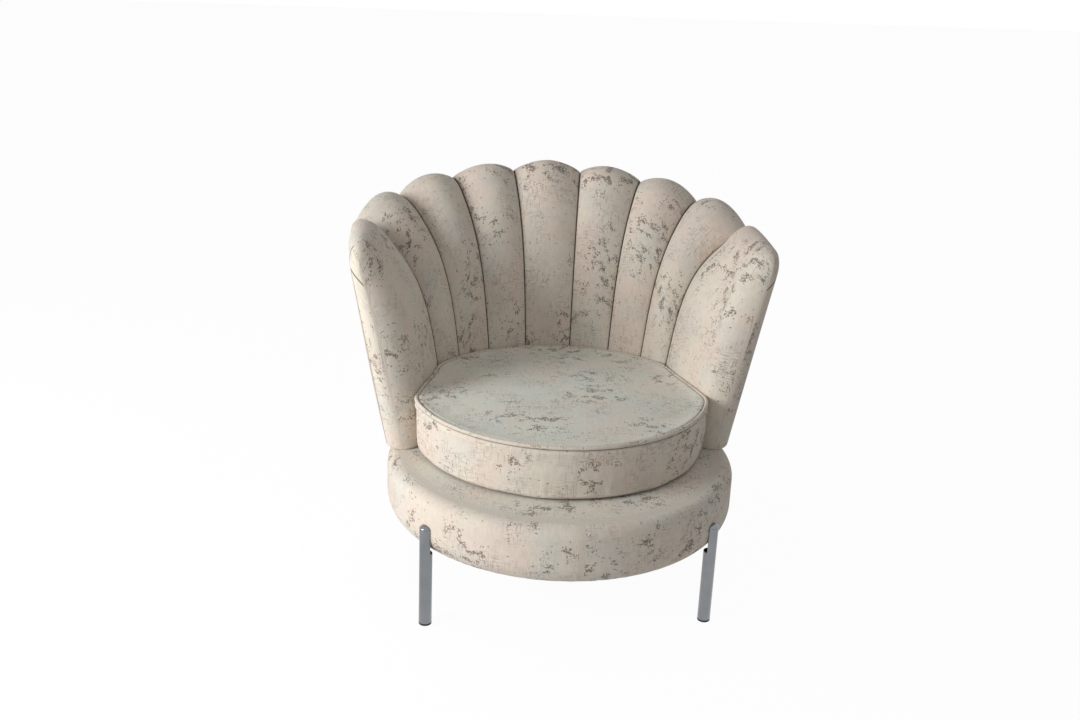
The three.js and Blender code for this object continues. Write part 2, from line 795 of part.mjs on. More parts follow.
// Azimuths from one side of the back to the other, with the same steps in every channel
function backAzimuths(steps, end) {
  const seams = [-end, ...channelSeamAzimuths.map((a) => -a).reverse(), ...channelSeamAzimuths, end];
  const azimuths = [seams[0]];
  for (let i = 0; i + 1 < seams.length; i++) {
    const outermost = i === 0 || i + 2 === seams.length;
    const count = outermost ? 2 * steps : steps;
    for (let s = 1; s <= count; s++) azimuths.push(seams[i] + ((seams[i + 1] - seams[i]) * s) / count);
  }
  return azimuths;
}

function backLoft(outlineAt, end = shellEndAzimuth) {
  const azimuths = backAzimuths(shellSteps, end);
  return loftAround(azimuths.map((azimuth) => ({ azimuth, outline: outlineAt(azimuth) })));
}

const hollowEnd = shellEndAzimuth + fitGap / seatRadius;
const hollow = backLoft(hollowOutline, hollowEnd);
const shellSlot = backLoft((azimuth) => shellOutline(azimuth, fitGap), hollowEnd);
const seamGapAngle = fitGap / 2 / seatRadius;

function channelSections(from, to) {
  return Array.from({ length: channelSteps + 1 }, (_, i) => {
    const azimuth = from + ((to - from) * i) / channelSteps;
    return { azimuth, outline: channelOutline(azimuth, fullness(azimuth)) };
  });
}

function backChannel(from, to) {
  return cut(loftAround(channelSections(from + seamGapAngle, to - seamGapAngle)), hollow, shellSlot);
}

// Sections past the shell's end, where an arm channel narrows round the front of the arm
const armTip = Array.from({ length: armTipSteps }, (_, i) => {
  const lastTurn = Math.acos(armTipFlatShare);
  const turn = (lastTurn * (i + 1)) / armTipSteps;
  const forward = ((armTipAzimuth - shellEndAzimuth) * Math.sin(turn)) / Math.sin(lastTurn);
  const outline = narrowed(channelOutline(shellEndAzimuth, 1), Math.cos(turn));
  return { azimuth: shellEndAzimuth + forward, outline };
});

function armChannel(side) {
  const sections = [...channelSections(outerSeam + seamGapAngle, shellEndAzimuth), ...armTip];
  const sided = sections.map(({ azimuth, outline }) => ({ azimuth: side * azimuth, outline }));
  return cut(loftAround(sided), hollow, shellSlot);
}

function shellRail() {
  const holes = shellBoltHoles(shellFoot - cutOverrun, shellFoot + shellBoltGrip + fitGap);
  return cut(backLoft(railOutline), ...holes);
}

function shellBolt(azimuth) {
  const headFace = ringBottom - fitGap;
  const centre = polar(shellBoltRadius, azimuth, headFace);
  return bolt(shellFoot + shellBoltGrip - headFace).translate(centre.x, centre.y, centre.z);
}

// Upright rib between the shell and the outer cover, standing on the rail
function backRib(azimuth) {
  const full = fullness(azimuth);
  const middle = shellHeights(azimuth).map((height) => shellPoint(azimuth, height, shellThickness / 2));
  const outline = [
    ...middle,
    new THREE.Vector2(outerRadius(azimuth, 1) - coverThickness / 2, shellTop(azimuth)),
    new THREE.Vector2(outerRadius(azimuth, 1) - coverThickness / 2, closingSeamTop(azimuth, full)),
    new THREE.Vector2(outerRadius(azimuth, 0) - coverThickness / 2, middle[0].y),
  ];
  const settings = { depth: ribThickness, bevelEnabled: false };
  const plate = new THREE.ExtrudeGeometry(new THREE.Shape(outline), settings);
  plate.translate(0, 0, -ribThickness / 2).rotateX(Math.PI / 2).rotateZ(Math.PI / 2 - azimuth);
  const shell = backLoft((at) => shellOutline(at, ribClearance));
  const cover = backLoft((at) => coverOutline(at, ribClearance));
  const wide = outerRimRadius + rimShift;
  const low = new THREE.Vector3(-wide, -wide, closingSeamTop(azimuth, full) - ribTopGap);
  const above = boxBetween(low, new THREE.Vector3(wide, wide, crestTopBack));
  return cut(plate, shell, cover, above);
}

const seams = [...channelSeamAzimuths.map((a) => -a).reverse(), ...channelSeamAzimuths];
addPiece("channel_1", armChannel(-1), "fabric");
for (let i = 0; i + 1 < seams.length; i++) {
  addPiece(`channel_${i + 2}`, backChannel(seams[i], seams[i + 1]), "fabric");
}
addPiece(`channel_${seams.length + 1}`, armChannel(1), "fabric");
addPiece("shell_panel", backLoft((azimuth) => shellOutline(azimuth, 0)), "plywood");
addPiece("shell_rail", shellRail(), "plywood");
addPiece("outer_cover", backLoft((azimuth) => coverOutline(azimuth, 0)), "fabric");
const backRibTurn = (channelSeamAzimuths[1] + channelSeamAzimuths[2]) / 2;
const armRibTurn = outerSeam + (shellEndAzimuth - outerSeam) * armRibShare;
const ribAzimuths = [-armRibTurn, -backRibTurn, 0, backRibTurn, armRibTurn];
ribAzimuths.forEach((azimuth, i) => addPiece(`back_rib_${i + 1}`, backRib(azimuth), "plywood"));
shellBoltAzimuths.forEach((azimuth, i) => addPiece(`shell_bolt_${i + 1}`, shellBolt(azimuth), "steel"));

// Seat cushion
const seatTurns = [
  ...Array.from({ length: seatRearSteps }, (_, i) => (shellEndAzimuth * i) / seatRearSteps),
  shellEndAzimuth,
  ...armTip.map(({ azimuth }) => azimuth),
  ...Array.from({ length: seatFrontSteps }, (_, i) => {
    return armTipAzimuth + ((Math.PI - armTipAzimuth) * (i + 1)) / seatFrontSteps;
  }),
];
const seatAzimuths = [...seatTurns.slice(1, -1).map((turn) => -turn).reverse(), ...seatTurns];

function seatFront(azimuth) {
  const across = (seatFrontShift * Math.sin(azimuth)) ** 2;
  return seatFrontShift * Math.cos(azimuth) + Math.sqrt(seatFrontRadius ** 2 - across);
}

// Radius of the channels' faces at a height, the arm tips included
function faceRadius(turn, height) {
  const tip = armTip.find(({ azimuth }) => Math.abs(azimuth - turn) < seamGapAngle);
  const outline = tip ? tip.outline : channelOutline(turn, turn < outerSeam ? 1 : fullness(turn));
  const i = outline.findIndex((p, at) => height <= outline[at + 1].y);
  const share = (height - outline[i].y) / (outline[i + 1].y - outline[i].y);
  return outline[i].x + (outline[i + 1].x - outline[i].x) * share;
}

// Outline of the cushion's side at a height: clear of the channels behind, a plain arc in front
function seatSide(azimuth, height) {
  const rise = (height - seatBottom) / (seatEdgeHeight - seatBottom);
  const swell = 4 * seatSideBulge * rise * (1 - rise) - seatDrawIn * (1 - rise) ** 2;
  const front = seatFront(azimuth) + swell;
  const turn = Math.abs(azimuth);
  return turn > armTipAzimuth ? front : Math.min(faceRadius(turn, height) - seatSideGap, front);
}

function seatRing(height, inset) {
  return seatAzimuths.map((azimuth) => polar(seatSide(azimuth, height) - inset, azimuth, height));
}

// A ring on the crowned top: a share of the way out to the edge, lowered by a depth
function domeRing(share, inset, depth) {
  const height = seatEdgeHeight + seatCrown * (1 - share ** seatDomePower) - depth;
  return seatAzimuths.map((azimuth) => {
    return polar((seatSide(azimuth, seatEdgeHeight) - inset) * share, azimuth, height);
  });
}

const weltSink = weltRadius - weltProud;
const panelInset = weltSink + weltRadius + 2 * fitGap;
const bandTop = seatEdgeHeight - weltRadius - fitGap;
const bandHeights = bandHeightShares.map((share) => seatBottom + (bandTop - seatBottom) * share);

function seatFoam() {
  const inset = coverSheet + fitGap;
  const bottom = seatBottom + inset;
  const rings = [
    seatRing(bottom, seatEdgeRound + fitGap),
    ...[seatBottom + seatEdgeRound + fitGap, ...bandHeights, bandTop].map((z) => seatRing(z, inset)),
    ...seatDomeShares.map((share) => domeRing(share, panelInset + fitGap, inset)),
  ];
  const crest = seatEdgeHeight + seatCrown - inset;
  return loftRings(rings, new THREE.Vector3(0, 0, bottom), new THREE.Vector3(0, 0, crest));
}

function seatTopPanel() {
  const rings = [
    ...[...seatDomeShares].reverse().map((share) => domeRing(share, panelInset, coverSheet)),
    ...seatDomeShares.map((share) => domeRing(share, panelInset, 0)),
  ];
  const crest = seatEdgeHeight + seatCrown;
  return loftRings(rings, new THREE.Vector3(0, 0, crest - coverSheet), new THREE.Vector3(0, 0, crest));
}

function seatBottomPanel() {
  const inset = seatEdgeRound + fitGap;
  const top = seatBottom + coverSheet;
  const rings = [seatRing(seatBottom, inset), seatRing(top, inset)];
  return loftRings(rings, new THREE.Vector3(0, 0, seatBottom), new THREE.Vector3(0, 0, top));
}

const zipHeight = seatBottom + (bandTop - seatBottom) / 2;
const zipTurn = zipLength / 2 / seatRadius;

// A length of the cushion's rear side, between two depths under its surface
function sideStrip(turn, halfWidth, outside, inside) {
  const between = seatAzimuths.filter((azimuth) => Math.abs(azimuth) < turn - seamGapAngle);
  const sections = [-turn, ...between, turn].map((azimuth) => {
    const corners = [
      [zipHeight - halfWidth, outside],
      [zipHeight + halfWidth, outside],
      [zipHeight + halfWidth, inside],
      [zipHeight - halfWidth, inside],
    ];
    const outline = corners.map(([z, depth]) => new THREE.Vector2(seatSide(azimuth, z) - depth, z));
    return { azimuth, outline };
  });
  return loftAround(sections);
}

function seatBand() {
  const heights = [seatBottom + seatEdgeRound, ...bandHeights, bandTop];
  const outer = [seatRing(seatBottom, seatEdgeRound), ...heights.map((z) => seatRing(z, 0))];
  const inner = [
    ...heights.map((z) => seatRing(z, coverSheet)).reverse(),
    seatRing(seatBottom + coverSheet, seatEdgeRound),
  ];
  const slot = sideStrip(zipTurn + fitGap / seatRadius, zipWidth / 2 + fitGap, -cutOverrun, cutOverrun);
  return cut(loftHoop([...outer, ...inner]), slot);
}

function seatZip() {
  const outside = (coverSheet - zipThickness) / 2;
  return sideStrip(zipTurn, zipWidth / 2, outside, outside + zipThickness);
}

function seatPiping() {
  const rings = Array.from({ length: weltSides }, (_, i) => {
    const angle = (2 * Math.PI * i) / weltSides;
    return seatAzimuths.map((azimuth) => {
      const radius = seatSide(azimuth, seatEdgeHeight) - weltSink + weltRadius * Math.cos(angle);
      return polar(radius, azimuth, seatEdgeHeight + weltRadius * Math.sin(angle));
    });
  });
  return loftHoop(rings);
}

addPiece("seat_foam", seatFoam(), "foam");
addPiece("seat_top_panel", seatTopPanel(), "fabric");
addPiece("seat_bottom_panel", seatBottomPanel(), "fabric");
addPiece("seat_band", seatBand(), "fabric");
addPiece("seat_zip", seatZip(), "zip");
addPiece("seat_piping", seatPiping(), "fabric");

// The origin lies on the floor under the middle of the whole chair
const reach = new THREE.Box3().setFromObject(chair);
chair.position.y = -(reach.min.y + reach.max.y) / 2;

const scene = new THREE.Group();
scene.add(chair);
export default scene;
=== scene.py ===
import math

import bpy
import bmesh
import numpy as np
from mathutils import Matrix, Vector


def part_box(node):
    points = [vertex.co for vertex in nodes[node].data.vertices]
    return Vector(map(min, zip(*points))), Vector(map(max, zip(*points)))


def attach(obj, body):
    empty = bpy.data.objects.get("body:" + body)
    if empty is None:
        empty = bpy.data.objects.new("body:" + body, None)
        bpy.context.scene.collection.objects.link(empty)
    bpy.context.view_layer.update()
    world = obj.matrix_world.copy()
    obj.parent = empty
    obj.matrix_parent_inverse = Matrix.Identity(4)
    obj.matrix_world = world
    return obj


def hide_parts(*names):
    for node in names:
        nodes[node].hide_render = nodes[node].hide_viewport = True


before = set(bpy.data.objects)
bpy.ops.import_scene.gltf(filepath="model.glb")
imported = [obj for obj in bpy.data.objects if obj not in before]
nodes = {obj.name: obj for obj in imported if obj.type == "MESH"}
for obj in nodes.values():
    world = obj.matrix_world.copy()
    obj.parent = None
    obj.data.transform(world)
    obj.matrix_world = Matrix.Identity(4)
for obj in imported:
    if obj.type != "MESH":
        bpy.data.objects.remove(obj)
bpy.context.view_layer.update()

drumLow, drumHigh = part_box("drum_cover")
drumY = (drumLow.y + drumHigh.y) / 2   # the drum's axis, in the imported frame
rad = math.radians
print("frame loaded, drum axis at y", round(drumY, 4))


def newObject(name, data):
    obj = bpy.data.objects.new(name, data)
    bpy.context.scene.collection.objects.link(obj)
    return obj


# The photograph's viewing angle, measured from the drum's axis
camera = {"place": (-0.3031, -2.4274, 1.3573), "pitch": -20.1246, "pan": 5.96678, "roll": 2.44475,
          "lens": 43.641, "sensor": 36}


def makeCamera(s):
    data = bpy.data.cameras.new("photoCamera")
    data.sensor_width = s["sensor"]
    data.lens = s["lens"]
    obj = newObject("photoCamera", data)
    x, y, z = s["place"]
    placed = Matrix.Translation((x, y + drumY, z))
    for degrees, axis in ((-s["pan"], "Z"), (90 + s["pitch"], "X"), (s["roll"], "Z")):
        placed = placed @ Matrix.Rotation(rad(degrees), 4, axis)
    obj.matrix_world = placed
    bpy.context.scene.camera = obj


makeCamera(camera)


# Node helpers
def setInputs(tree, node, values):
    for key, value in values.items():
        if hasattr(value, "is_output"):
            tree.links.new(value, node.inputs[key])
        else:
            node.inputs[key].default_value = value
    return node


def addNode(tree, kind, values=None, **settings):
    node = tree.nodes.new(kind)
    for key, value in settings.items():
        setattr(node, key, value)
    return setInputs(tree, node, values or {})


def mathNode(tree, operation, *values, clamp=False):
    node = addNode(tree, "ShaderNodeMath", dict(enumerate(values)), operation=operation, use_clamp=clamp)
    return node.outputs[0]


def scaledNode(tree, value, factor, offset):
    return mathNode(tree, "MULTIPLY_ADD", value, factor, offset)


def noiseNode(tree, vector, scale, detail, roughness=0.5):
    values = {"Vector": vector, "Scale": scale, "Detail": detail, "Roughness": roughness}
    return addNode(tree, "ShaderNodeTexNoise", values).outputs["Fac"]


def stepNode(tree, value, low, high):
    values = {"Value": value, "From Min": low, "From Max": high}
    return addNode(tree, "ShaderNodeMapRange", values, interpolation_type="SMOOTHSTEP").outputs[0]


def mixColour(tree, factor, a, b, blend="MIX"):
    node = addNode(tree, "ShaderNodeMix", data_type="RGBA", blend_type=blend)
    return setInputs(tree, node, {0: factor, 6: a, 7: b}).outputs[2]


def stretch(tree, vector, scale, location=(0, 0, 0)):
    values = {"Vector": vector, "Scale": scale, "Location": location}
    return addNode(tree, "ShaderNodeMapping", values).outputs[0]


def objectPlace(tree):
    return addNode(tree, "ShaderNodeTexCoord").outputs["Object"]


def makeGroup(name, kind, inputs, outputs):
    tree = bpy.data.node_groups.new(name, kind)
    for way, sockets in (("INPUT", inputs), ("OUTPUT", outputs)):
        for key, value in sockets.items():
            tree.interface.new_socket(name=key, in_out=way, socket_type="NodeSocket" + value)
    return tree, addNode(tree, "NodeGroupInput").outputs, addNode(tree, "NodeGroupOutput").inputs


def clearedTree(owner):
    owner.use_nodes = True
    owner.node_tree.nodes.clear()
    return owner.node_tree


def newMaterial(name, **constants):
    material = bpy.data.materials.new(name)
    tree = clearedTree(material)
    constants = {key.replace("_", " "): value for key, value in constants.items()}
    shader = addNode(tree, "ShaderNodeBsdfPrincipled", constants)
    addNode(tree, "ShaderNodeOutputMaterial", {"Surface": shader.outputs[0]})
    return material, tree, shader


# Links a finish's changing colour, roughness and relief to its shader
def shadeWith(tree, shader, colour, rough, height, distance, strength):
    bump = addNode(tree, "ShaderNodeBump", {"Height": height, "Distance": distance, "Strength": strength})
    setInputs(tree, shader, {"Base Color": colour, "Roughness": rough, "Normal": bump.outputs[0]})


# One where a woven cell of the cloth takes the dye; chance is the share of cells that do
def dashCells(tree, vector, cell, chance):
    wander = addNode(tree, "ShaderNodeTexNoise", {"Vector": vector, "Scale": 210.0, "Detail": 1.0})
    values = {0: wander.outputs["Color"], 1: (0.0034, 0.0026, 0.0), 2: vector}
    bent = addNode(tree, "ShaderNodeVectorMath", values, operation="MULTIPLY_ADD").outputs[0]
    snapped = addNode(tree, "ShaderNodeVectorMath", {0: bent, 1: cell}, operation="SNAP").outputs[0]
    drawn = addNode(tree, "ShaderNodeTexWhiteNoise", {"Vector": snapped}, noise_dimensions="3D")
    return mathNode(tree, "LESS_THAN", drawn.outputs["Value"], chance)


# A smooth mask from a noise, zero below one of its levels and one above the other
def noiseMask(tree, vector, place, scale, detail, low, high, shape=(1, 1, 1)):
    return stepNode(tree, noiseNode(tree, stretch(tree, vector, shape, place), scale, detail), low, high)


# The fleck print: sparse clusters of brown specks, faint crossed scratches and soft colour clouds
def makeFleckPrint():
    tree, given, out = makeGroup(
        "wornFleckPrint", "ShaderNodeTree",
        {"Vector": "Vector", "Ground": "Color", "Fleck": "Color"}, {"Color": "Color"})
    vector = given["Vector"]
    patches = stepNode(tree, noiseNode(tree, vector, 8.0, 1.0), 0.47, 0.66)
    clusters = noiseMask(tree, vector, (3, 7, 1), 40.0, 2.0, 0.48, 0.66, (1, 1.2, 1))
    thickness = scaledNode(tree, mathNode(tree, "MULTIPLY", patches, clusters), 0.55, 0.003)
    level = dashCells(tree, vector, (0.0042, 0.0017, 1), thickness)
    upright = dashCells(tree, vector, (0.0016, 0.0036, 1), mathNode(tree, "MULTIPLY", thickness, 0.8))
    across = noiseMask(tree, vector, (5, 2, 0), 1.0, 1.0, 0.54, 0.66, (45, 430, 45))
    along = noiseMask(tree, vector, (1, 9, 4), 1.0, 1.0, 0.55, 0.67, (430, 45, 45))
    dashes = mathNode(tree, "MAXIMUM", across, along)
    worn = noiseMask(tree, vector, (8, 3, 2), 12.0, 3.0, 0.40, 0.62)
    lines = mathNode(tree, "MULTIPLY", mathNode(tree, "MULTIPLY", dashes, worn), 0.34)
    marks = mathNode(tree, "MULTIPLY", mathNode(tree, "MAXIMUM", level, upright), 0.72)
    mask = mathNode(tree, "MAXIMUM", marks, lines)
    warm = stepNode(tree, noiseNode(tree, vector, 7.0, 2.0), 0.40, 0.62)
    cool = noiseMask(tree, vector, (4, 4, 9), 11.0, 2.0, 0.48, 0.64)
    cloud = mixColour(tree, warm, (0.985, 1.0, 0.97, 1), (1.0, 0.955, 0.93, 1))
    cloud = mixColour(tree, mathNode(tree, "MULTIPLY", cool, 0.38), cloud, (0.86, 0.95, 1.0, 1))
    ground = mixColour(tree, 1.0, given["Ground"], cloud, "MULTIPLY")
    tree.links.new(mixColour(tree, mask, ground, given["Fleck"]), out["Color"])
    return tree


# A short brushed pile with a fine rib under it
def makePile():
    tree, given, out = makeGroup(
        "shortPile", "ShaderNodeTree", {"Vector": "Vector"}, {"Height": "Float", "Tone": "Float"})
    vector = given["Vector"]
    fine = noiseNode(tree, vector, 1500.0, 1.0)
    brushed = noiseNode(tree, stretch(tree, vector, (1, 0.45, 1)), 150.0, 3.0, 0.6)
    wave = {"Vector": vector, "Scale": 140.0, "Distortion": 1.5, "Detail": 1.0, "Detail Scale": 8.0}
    ribs = addNode(tree, "ShaderNodeTexWave", wave, bands_direction="Y").outputs["Fac"]
    height = scaledNode(tree, fine, 0.5, mathNode(tree, "MULTIPLY", brushed, 0.35))
    tree.links.new(scaledNode(tree, ribs, 0.15, height), out["Height"])
    tree.links.new(brushed, out["Tone"])
    return tree


fleckPrint = makeFleckPrint()
pile = makePile()


# Finishes
# flat is the colour where the cloth lies on the seat top and drum deck: cooler for the nap lying flat, and
# lighter as painted sheen from light grazing these tops
velvet = {"ground": (0.705, 0.634, 0.558, 1), "flat": (0.76, 0.745, 0.675, 1),
          # The near-black brown here is painted shade, laid into grooves, seams and the cushion's lower
          # edge
          "fleck": (0.095, 0.066, 0.048, 1), "crease": (0.055, 0.038, 0.026, 1), "pileDepth": 0.0006}


def makeVelvet(name, s):
    material, tree, shader = newMaterial(name, Sheen_Weight=0.22, Sheen_Roughness=0.4,
                                         Specular_IOR_Level=0.22)
    cloth = addNode(tree, "ShaderNodeUVMap", uv_map="cloth").outputs[0]
    # Painted sheen and nap tone: marked tops mix towards the lighter, cooler flat colour
    brushed = addNode(tree, "ShaderNodeAttribute", attribute_name="nap").outputs["Fac"]
    ground = mixColour(tree, brushed, s["ground"], s["flat"])
    given = {"Vector": cloth, "Ground": ground, "Fleck": s["fleck"]}
    printed = addNode(tree, "ShaderNodeGroup", given, node_tree=fleckPrint).outputs
    nap = addNode(tree, "ShaderNodeGroup", {"Vector": cloth}, node_tree=pile).outputs
    shade = scaledNode(tree, nap["Tone"], 0.30, 0.85)
    tone = addNode(tree, "ShaderNodeCombineColor", {0: shade, 1: shade, 2: shade}).outputs[0]
    colour = mixColour(tree, 1.0, printed["Color"], tone, "MULTIPLY")
    # Painted shade: where the mesh marks grooves, seams and edges, the colour darkens towards the
    # near-black brown
    crease = addNode(tree, "ShaderNodeAttribute", attribute_name="crease").outputs["Fac"]
    creaseShadeAmount = mathNode(tree, "MULTIPLY", stepNode(tree, crease, 0.15, 0.95), 0.9)
    colour = mixColour(tree, creaseShadeAmount, colour, s["crease"])
    rough = scaledNode(tree, nap["Tone"], 0.12, 0.78)
    shadeWith(tree, shader, colour, rough, nap["Height"], s["pileDepth"], 0.6)
    return material


def makeChrome():
    material, tree, shader = newMaterial("satinChrome", Metallic=1.0)
    place = objectPlace(tree)
    brushed = noiseNode(tree, stretch(tree, place, (900, 900, 30)), 1.0, 2.0)
    smears = noiseNode(tree, place, 26.0, 3.0, 0.6)
    colour = mixColour(tree, smears, (0.20, 0.21, 0.22, 1), (0.28, 0.29, 0.30, 1))
    rough = scaledNode(tree, smears, 0.08, scaledNode(tree, brushed, 0.08, 0.13))
    shadeWith(tree, shader, colour, rough, brushed, 0.00004, 0.4)
    return material


# A plain finish from one noise: colour between low and high, roughness and bump with it
def makeGrained(name, low, high, grain, scale, rough, depth, **constants):
    material, tree, shader = newMaterial(name, **constants)
    place = objectPlace(tree)
    fine = noiseNode(tree, stretch(tree, place, grain), scale, 3.0, 0.6)
    worn = stepNode(tree, noiseNode(tree, place, 90.0, 3.0), 0.5, 0.75)
    faint = mathNode(tree, "MULTIPLY", fine, 0.6)
    both = mathNode(tree, "MULTIPLY_ADD", worn, 0.5, faint, clamp=True)
    rough = scaledNode(tree, fine, 0.2, rough)
    shadeWith(tree, shader, mixColour(tree, both, low, high), rough, fine, depth, 0.5)
    return material


def makePlywood():
    material, tree, shader = newMaterial("birchPlywood", Specular_IOR_Level=0.3)
    place = objectPlace(tree)
    wave = {"Vector": place, "Scale": 110.0, "Distortion": 0.6, "Detail": 2.0}
    plies = addNode(tree, "ShaderNodeTexWave", wave, bands_direction="Z").outputs["Fac"]
    grain = noiseNode(tree, stretch(tree, place, (18, 240, 240)), 1.0, 4.0, 0.6)
    pale = mixColour(tree, grain, (0.50, 0.34, 0.18, 1), (0.70, 0.53, 0.33, 1))
    colour = mixColour(tree, mathNode(tree, "MULTIPLY", plies, 0.35), pale, (0.36, 0.22, 0.11, 1))
    shadeWith(tree, shader, colour, scaledNode(tree, grain, 0.2, 0.55), grain, 0.0003, 0.5)
    return material


def makeWoven(name, low, high, scale, rough):
    material, tree, shader = newMaterial(name, Specular_IOR_Level=0.2)
    place = objectPlace(tree)
    wave = {"Vector": place, "Scale": scale, "Distortion": 0.8, "Detail": 1.0}
    threads = [addNode(tree, "ShaderNodeTexWave", wave, bands_direction=axis) for axis in "XY"]
    fuzz = noiseNode(tree, place, 700.0, 2.0)
    weave = mathNode(tree, "MULTIPLY", *[thread.outputs["Fac"] for thread in threads])
    both = scaledNode(tree, weave, 0.6, mathNode(tree, "MULTIPLY", fuzz, 0.4))
    rough = scaledNode(tree, fuzz, 0.15, rough)
    shadeWith(tree, shader, mixColour(tree, both, low, high), rough, both, 0.0005, 0.6)
    return material


finishes = {
    "velvet": makeVelvet("fleckedVelvet", velvet),
    "chrome": makeChrome(),
    "footPlastic": makeGrained("footPlastic", (0.010, 0.010, 0.011, 1), (0.045, 0.043, 0.04, 1), (1, 1, 4),
                               900.0, 0.40, 0.0001, Specular_IOR_Level=0.4),
    "zinc": makeGrained("zincSteel", (0.42, 0.43, 0.44, 1), (0.58, 0.59, 0.6, 1), (1, 1, 1), 420.0, 0.26,
                        0.00006, Metallic=1.0),
    "plywood": makePlywood(),
    "dustCloth": makeWoven("dustCloth", (0.006, 0.006, 0.007, 1), (0.03, 0.03, 0.032, 1), 160.0, 0.8),
    "webbing": makeWoven("webbing", (0.05, 0.035, 0.025, 1), (0.17, 0.12, 0.085, 1), 90.0, 0.75),
    "zipTape": makeWoven("zipTape", (0.40, 0.35, 0.29, 1), (0.58, 0.52, 0.44, 1), 220.0, 0.7),
    "thread": makeWoven("sewingThread", (0.30, 0.25, 0.20, 1), (0.52, 0.45, 0.37, 1), 900.0, 0.6),
}
print("finishes made")


# Shades a mesh, gives it its finish and body, and hides the nodes that it stands for
def finishPiece(name, mesh, finish, replaced=(), sharpAngle=50):
    bm = bmesh.new()
    bm.from_mesh(mesh)
    bmesh.ops.recalc_face_normals(bm, faces=bm.faces)
    for edge in bm.edges:
        edge.smooth = len(edge.link_faces) != 2 or edge.calc_face_angle(0) <= rad(sharpAngle)
    for face in bm.faces:
        face.smooth = True
    bm.to_mesh(mesh)
    bm.free()
    mesh.materials.clear()
    mesh.materials.append(finishes[finish])
    piece = newObject(name, mesh)
    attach(piece, "root")
    if replaced:
        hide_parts(*replaced)
    return piece


# A mesh from points in rows or loops, with UVs, and point attributes by name
def meshFrom(name, points, faces, uvs=None, edges=(), **fields):
    mesh = bpy.data.meshes.new(name)
    mesh.from_pydata(np.reshape(points, (-1, 3)).tolist(), edges, faces)
    if uvs is not None:
        corners = np.empty(len(mesh.loops), int)
        mesh.loops.foreach_get("vertex_index", corners)
        layer = mesh.uv_layers.new(name="cloth")
        layer.data.foreach_set("uv", np.reshape(uvs, (-1, 2))[corners].astype(np.float32).ravel())
    for field, value in fields.items():
        values = mesh.attributes.new(field, "FLOAT", "POINT")
        values.data.foreach_set("value", np.asarray(value, np.float32).ravel())
    return mesh


# Faces between neighbouring loops of points; with closedRows the last loop joins the first
def gridFaces(rows, count, closedRows):
    faces = []
    for r in range(rows if closedRows else rows - 1):
        n = (r + 1) % rows
        for i in range(count):
            j = (i + 1) % count
            faces.append((r * count + i, r * count + j, n * count + j, n * count + i))
    return faces


# Open rows of loops, each end loop filled by one face
def cappedFaces(rows, count):
    ends = [tuple(range(count))[::-1], tuple((rows - 1) * count + i for i in range(count))]
    return gridFaces(rows, count, False) + ends


# Open rows of loops whose points pair up, first with last, each end filled by a strip of quads
def pairedFaces(rows, count):
    faces = gridFaces(rows, count, False)
    for first in (0, (rows - 1) * count):
        last = first + count - 1
        faces += [(first + i, first + i + 1, last - 1 - i, last - i) for i in range(count // 2 - 1)]
    return faces


# Closed rows of loops that are open between two columns of points, each column filled by one face
def spunFaces(rows, count, inner, outer):
    faces = [face for face in gridFaces(rows, count, True) if face[0] % count != inner]
    return faces + [tuple(k * count + inner for k in range(rows)),
                    tuple(k * count + outer for k in range(rows))[::-1]]


def gridPlaces(across, along):
    return np.stack(np.broadcast_arrays(across[:, None], along[None, :]), axis=-1)


# A plain mesh of what the object's modifiers make
def bakedMesh(obj):
    graph = bpy.context.evaluated_depsgraph_get()
    return bpy.data.meshes.new_from_object(obj.evaluated_get(graph))


# The mesh with one modifier applied
def evaluatedMesh(mesh, kind, **settings):
    carrier = newObject("carrier", mesh)
    modifier = carrier.modifiers.new(kind, kind)
    for key, value in settings.items():
        setattr(modifier, key, value)
    made = bakedMesh(carrier)
    bpy.data.objects.remove(carrier)
    made.name = mesh.name
    return made


def polar(radius, azimuth, height):
    place = [radius * np.sin(azimuth), radius * np.cos(azimuth) + drumY, height + 0 * radius * azimuth]
    return np.stack(np.broadcast_arrays(*place), axis=-1)


def arcLength(points):
    return np.concatenate([[0], np.cumsum(np.linalg.norm(np.diff(points, axis=0), axis=1))])


# As many points as asked, evenly spaced along a path
def resampled(path, count):
    length = arcLength(path)
    stops = np.linspace(0, 1, count) * length[-1]
    return np.stack([np.interp(stops, length, path[:, k]) for k in range(path.shape[1])], axis=-1)


def smooth(x, low, high):
    t = np.clip((x - low) / (high - low), 0, 1)
    return t * t * (3 - 2 * t)


# The tub back: nine stuffed channels over a moulded shell, in metres, and degrees from its middle
back = {
    "seams": (8.7, 24.0, 38.0, 50.0), "shellEnd": 84.0, "armTip": 90.0, "armCrest": 68.0,
    "foot": 0.2678, "seatRadius": 0.305, "rimRadius": 0.390, "rimShift": 0.085, "sideDraw": 0.03,
    "valleyTop": 0.742, "valleyDrop": 0.090, "crestTop": 0.765, "crestDrop": 0.070, "crestPower": 1.6,
    "armTop": 0.693, "crown": 0.012, "lowCrown": 0.002, "armCrown": 0.022, "armFade": 0.65,
    "rollRise": 0.016, "rollRiseCorner": 0.025, "rollReach": 0.046, "rollReachCorner": 0.040,
    "closingDrop": 0.052, "outerBase": 0.355, "outerRim": 0.424, "rimCorner": 0.070,
    "innerPad": 0.012, "shell": 0.009, "shellRimPad": 0.034, "cover": 0.006, "armTipDrop": 0.045,
    "tipTurn": 87, "fanAngle": 6.0, "fanStart": 0.377, "clearance": 0.0012,
    "grooveDepth": 0.0042, "acrossSteps": 32, "faceSteps": 46, "rollSteps": 22, "tipSteps": 16,
    "puckerDepth": 0.0007, "puckerReach": 0.013, "tipSeam": 4, "creaseReach": 0.0038,
    "puckerWaves": ((1.0, 0.021, 1.7), (0.7, 0.034, 2.9), (0.5, 0.013, 1.0)),
}
